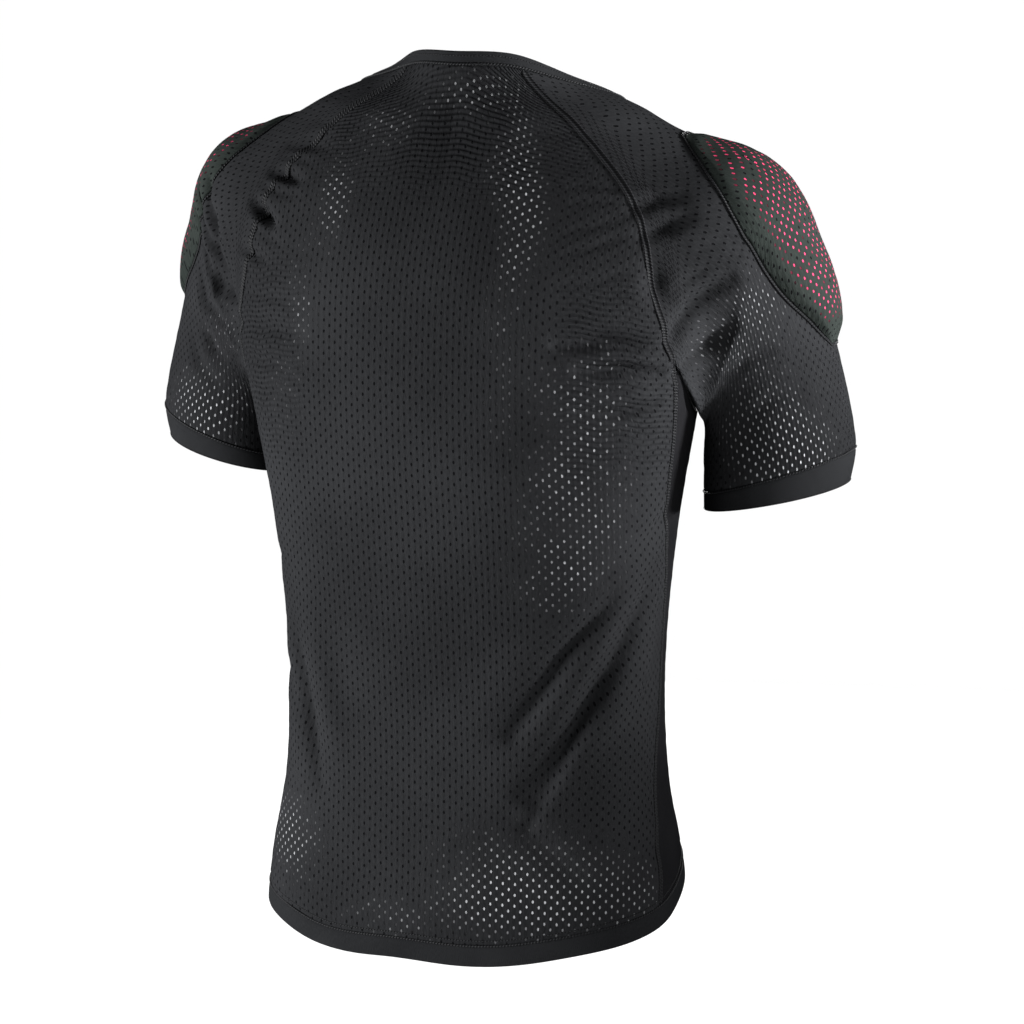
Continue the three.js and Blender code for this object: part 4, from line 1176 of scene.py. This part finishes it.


# The hole colour stands for the shirt's black inside seen through a hole, darkened as painted shade.
def mesh_knit(name, dark, pale, hole=(0.0016, 0.0016, 0.0018, 1), pad=None):
    """Knit with staggered holes: dark inside as painted shade, painted pale where light comes through, or the
    colour of a pad behind, darkened as painted shade.
    """
    finish = Finish(name, 0.62, 0.0)
    where = finish.objects()
    u, v, flat = finish.cloth_uv()
    mask, chance = hole_lattice(finish)
    cloudy = finish.noise(where, 9, 3)
    streak = finish.noise(flat, 900, 2, (1, 0.28, 1))
    body = finish.mix(finish.smooth(cloudy * 0.6 + streak * 0.4, 0.3, 0.7), dark, pale)
    bend = (u * 190).math("SINE") * 0.0009 + (cloudy - 0.5) * 0.006
    wave = ((v + bend) * (2 * pi / LEVEL_RIB)).math("SINE") * 0.5 + 0.5
    # Painted shade: the grooves between the level ribs are darkened towards the hole colour; the same share
    # also sinks them in the bump.
    trough = finish.attribute("ribs") * wave * wave
    body = finish.mix(trough * 0.75, body, hole)
    # Painted light: holes turn pale in the zones where light comes through
    light = finish.attribute("light")
    painted_lit_hole = finish.smooth(light * 1.1 - chance * 0.3, -0.05, 1.0)
    inside = finish.mix(painted_lit_hole, hole, HOLE_LIT)
    # Painted shade: over the pad, holes show its colour darkened, as it lies in shade under the cover
    if pad:
        shown = finish.attribute("pad_behind") * finish.smooth(chance, 0.05, 0.45)
        inside = finish.mix(shown, hole, pad)
    finish.give(Base_Color=finish.mix(mask, body, inside))
    ribs = (u * (2 * pi / MESH_RIB)).math("SINE") * 0.5 + 0.5
    height = streak * 0.55 + ribs * 0.25 - mask * 1.2 - trough * 1.6
    finish.give(Normal=finish.bump(height, 0.0006, 0.8))
    rough = finish.noise(where, 40, 2) * 0.16 + 0.52
    finish.give(Roughness=rough + mask * 0.3)
    return finish.material


def smooth_knit(name, dark, pale, roughness):
    """Close stretch knit: fine upright ribs, no holes."""
    finish = Finish(name, roughness, 0.0)
    where = finish.objects()
    u, _, flat = finish.cloth_uv()
    cloudy = finish.noise(where, 14, 3)
    streak = finish.noise(flat, 1400, 2, (1, 0.3, 1))
    finish.give(Base_Color=finish.mix(finish.smooth(cloudy * 0.5 + streak * 0.5, 0.3, 0.7), dark, pale))
    ribs = (u * (2 * pi / SMOOTH_RIB)).math("SINE") * 0.5 + 0.5
    finish.give(Normal=finish.bump(streak * 0.5 + ribs * 0.5, 0.00025, 0.6))
    finish.give(Roughness=finish.noise(where, 60, 2) * 0.12 + (roughness - 0.06))
    return finish.material


def thread(name, dark, pale):
    """Sewing thread: slanted stitches along the strip."""
    finish = Finish(name, 0.6, 0.02)
    u, v, _ = finish.cloth_uv()
    slant = ((v + u * 0.6) * (2 * pi / STITCH_PITCH)).math("SINE") * 0.5 + 0.5
    fuzz = finish.noise(finish.objects(), 1500, 2)
    finish.give(Base_Color=finish.mix(finish.smooth(slant * 0.7 + fuzz * 0.3, 0.15, 0.75), dark, pale))
    finish.give(Normal=finish.bump(slant * 0.8 + fuzz * 0.3, 0.0005, 0.9))
    finish.give(Roughness=fuzz * 0.2 + 0.42)
    return finish.material


def foam(name, dark, pale):
    """Closed-cell foam: fine pores and a faint cloudiness."""
    finish = Finish(name, 0.75, 0.3)
    where = finish.objects()
    pores = finish.node("ShaderNodeTexVoronoi", {}, {"Vector": where, "Scale": 1400.0})
    pore = finish.value(pores.outputs["Distance"])
    finish.give(Base_Color=finish.mix(finish.noise(where, 60, 3), dark, pale))
    finish.give(Normal=finish.bump(pore, 0.0003, 0.6))
    finish.give(Roughness=pore * 0.2 + 0.66)
    return finish.material


black_mesh = mesh_knit("black_mesh", (0.0040, 0.0041, 0.0044, 1), (0.0068, 0.0070, 0.0075, 1))
# The pocket's holes show the pad's pink, darkened as painted shade
pocket_mesh = mesh_knit("pocket_mesh", (0.0047, 0.0058, 0.0053, 1), (0.0078, 0.0092, 0.0085, 1),
                        pad=(0.20, 0.016, 0.042, 1))
side_knit = smooth_knit("side_knit", (0.0022, 0.0022, 0.0024, 1), (0.0040, 0.0040, 0.0044, 1), 0.5)
band_knit = smooth_knit("band_knit", (0.0034, 0.0035, 0.0038, 1), (0.0058, 0.0060, 0.0064, 1), 0.58)
seam_thread = thread("seam_thread", (0.0018, 0.0019, 0.0021, 1), (0.0044, 0.0045, 0.0049, 1))
pad_foam = foam("pad_foam", (0.30, 0.02, 0.05, 1), (0.55, 0.05, 0.11, 1))

CLOTH_FINISH = {"back": black_mesh, "front": black_mesh, "sleeve": black_mesh, "side": side_knit,
                "cuff": band_knit, "hem": band_knit, "neck": band_knit, "pocket": pocket_mesh,
                "shoulder": pad_foam}
for name, piece in cloth.items():
    piece.data.materials.append(CLOTH_FINISH[name.split("_")[0]])
    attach(piece, "root")
for owner, strips in seams.items():
    for piece in strips:
        piece.data.materials.append(seam_thread)
        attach(piece, "root")

# Each sheet's width, length and area, worked out from the size it was cut to
for name, piece in cloth.items():
    if name.startswith("shoulder"):
        continue
    p = panels[name]
    # The neckband's height is taken with the edge that is caught in its seam
    width, long = p["size"] / 1000, max(p["long"], 10) / 1000
    area = min(p["area"] / 1e6, width * long)


# Floor, light and camera

FLOOR_REACH = 40
FLOOR_Z = -1.15
floor_mesh = bpy.data.meshes.new("pale_floor")
corners = [(x * FLOOR_REACH, y * FLOOR_REACH, FLOOR_Z) for x, y in ((-1, -1), (1, -1), (1, 1), (-1, 1))]
floor_mesh.from_pydata(corners, [], [(0, 1, 2, 3)])
floor = bpy.data.objects.new("pale_floor", floor_mesh)
bpy.context.collection.objects.link(floor)
floor_finish = Finish("pale_floor", 0.9, 0.2)
floor_finish.shader.inputs["Base Color"].default_value = (0.95, 0.95, 0.95, 1)
floor_mesh.materials.append(floor_finish.material)

world = bpy.data.worlds.new("studio")
bpy.context.scene.world = world
world.use_nodes = True
world.node_tree.nodes["Background"].inputs[0].default_value = (1, 1, 1, 1)
world.node_tree.nodes["Background"].inputs[1].default_value = 1.06

# The photograph's view: turned from straight behind, at a distance, with a focal length in pixels
YAW = radians(21)
DISTANCE = 2.3
EYE = Vector((-sin(YAW) * DISTANCE, cos(YAW) * DISTANCE, 0.2))
AIM = Vector((0, 0, -0.326))
FILM = 36
FOCAL_PIXELS = 3220
SHIFT_PIXELS = 25
PICTURE_PIXELS = 1024


def softbox(name, place, aim, size, spread, power):
    """A square area light with a grid that keeps its beam narrow."""
    lamp = bpy.data.lights.new(name, "AREA")
    lamp.shape, lamp.size, lamp.energy, lamp.spread = "SQUARE", size, power, radians(spread)
    holder = bpy.data.objects.new(name, lamp)
    holder.location = place
    holder.rotation_euler = (Vector(aim) - Vector(place)).to_track_quat("-Z", "Y").to_euler()
    bpy.context.collection.objects.link(holder)


softbox("key_left", (2.08, 1.24, -0.65), (0, 0, -0.34), 1.1, 60, 66)
softbox("rim_right", (-2.3, -0.3, 0.0), (-0.25, 0, -0.1), 0.4, 20, 10)
softbox("fill_low", (-1.89, 1.31, -0.95), (0, 0, -0.34), 0.8, 60, 9)
softbox("front_side", (0.6, -2.4, -0.4), (0, 0, -0.34), 1.6, 60, 20)

camera_data = bpy.data.cameras.new("camera")
camera_data.sensor_width = FILM
camera_data.lens = FOCAL_PIXELS / PICTURE_PIXELS * FILM
camera_data.shift_x = SHIFT_PIXELS / PICTURE_PIXELS
camera = bpy.data.objects.new("camera", camera_data)
camera.location = EYE
camera.rotation_euler = (AIM - EYE).to_track_quat("-Z", "Y").to_euler()
bpy.context.collection.objects.link(camera)
bpy.context.scene.camera = camera
bpy.context.scene.view_settings.view_transform = "Standard"
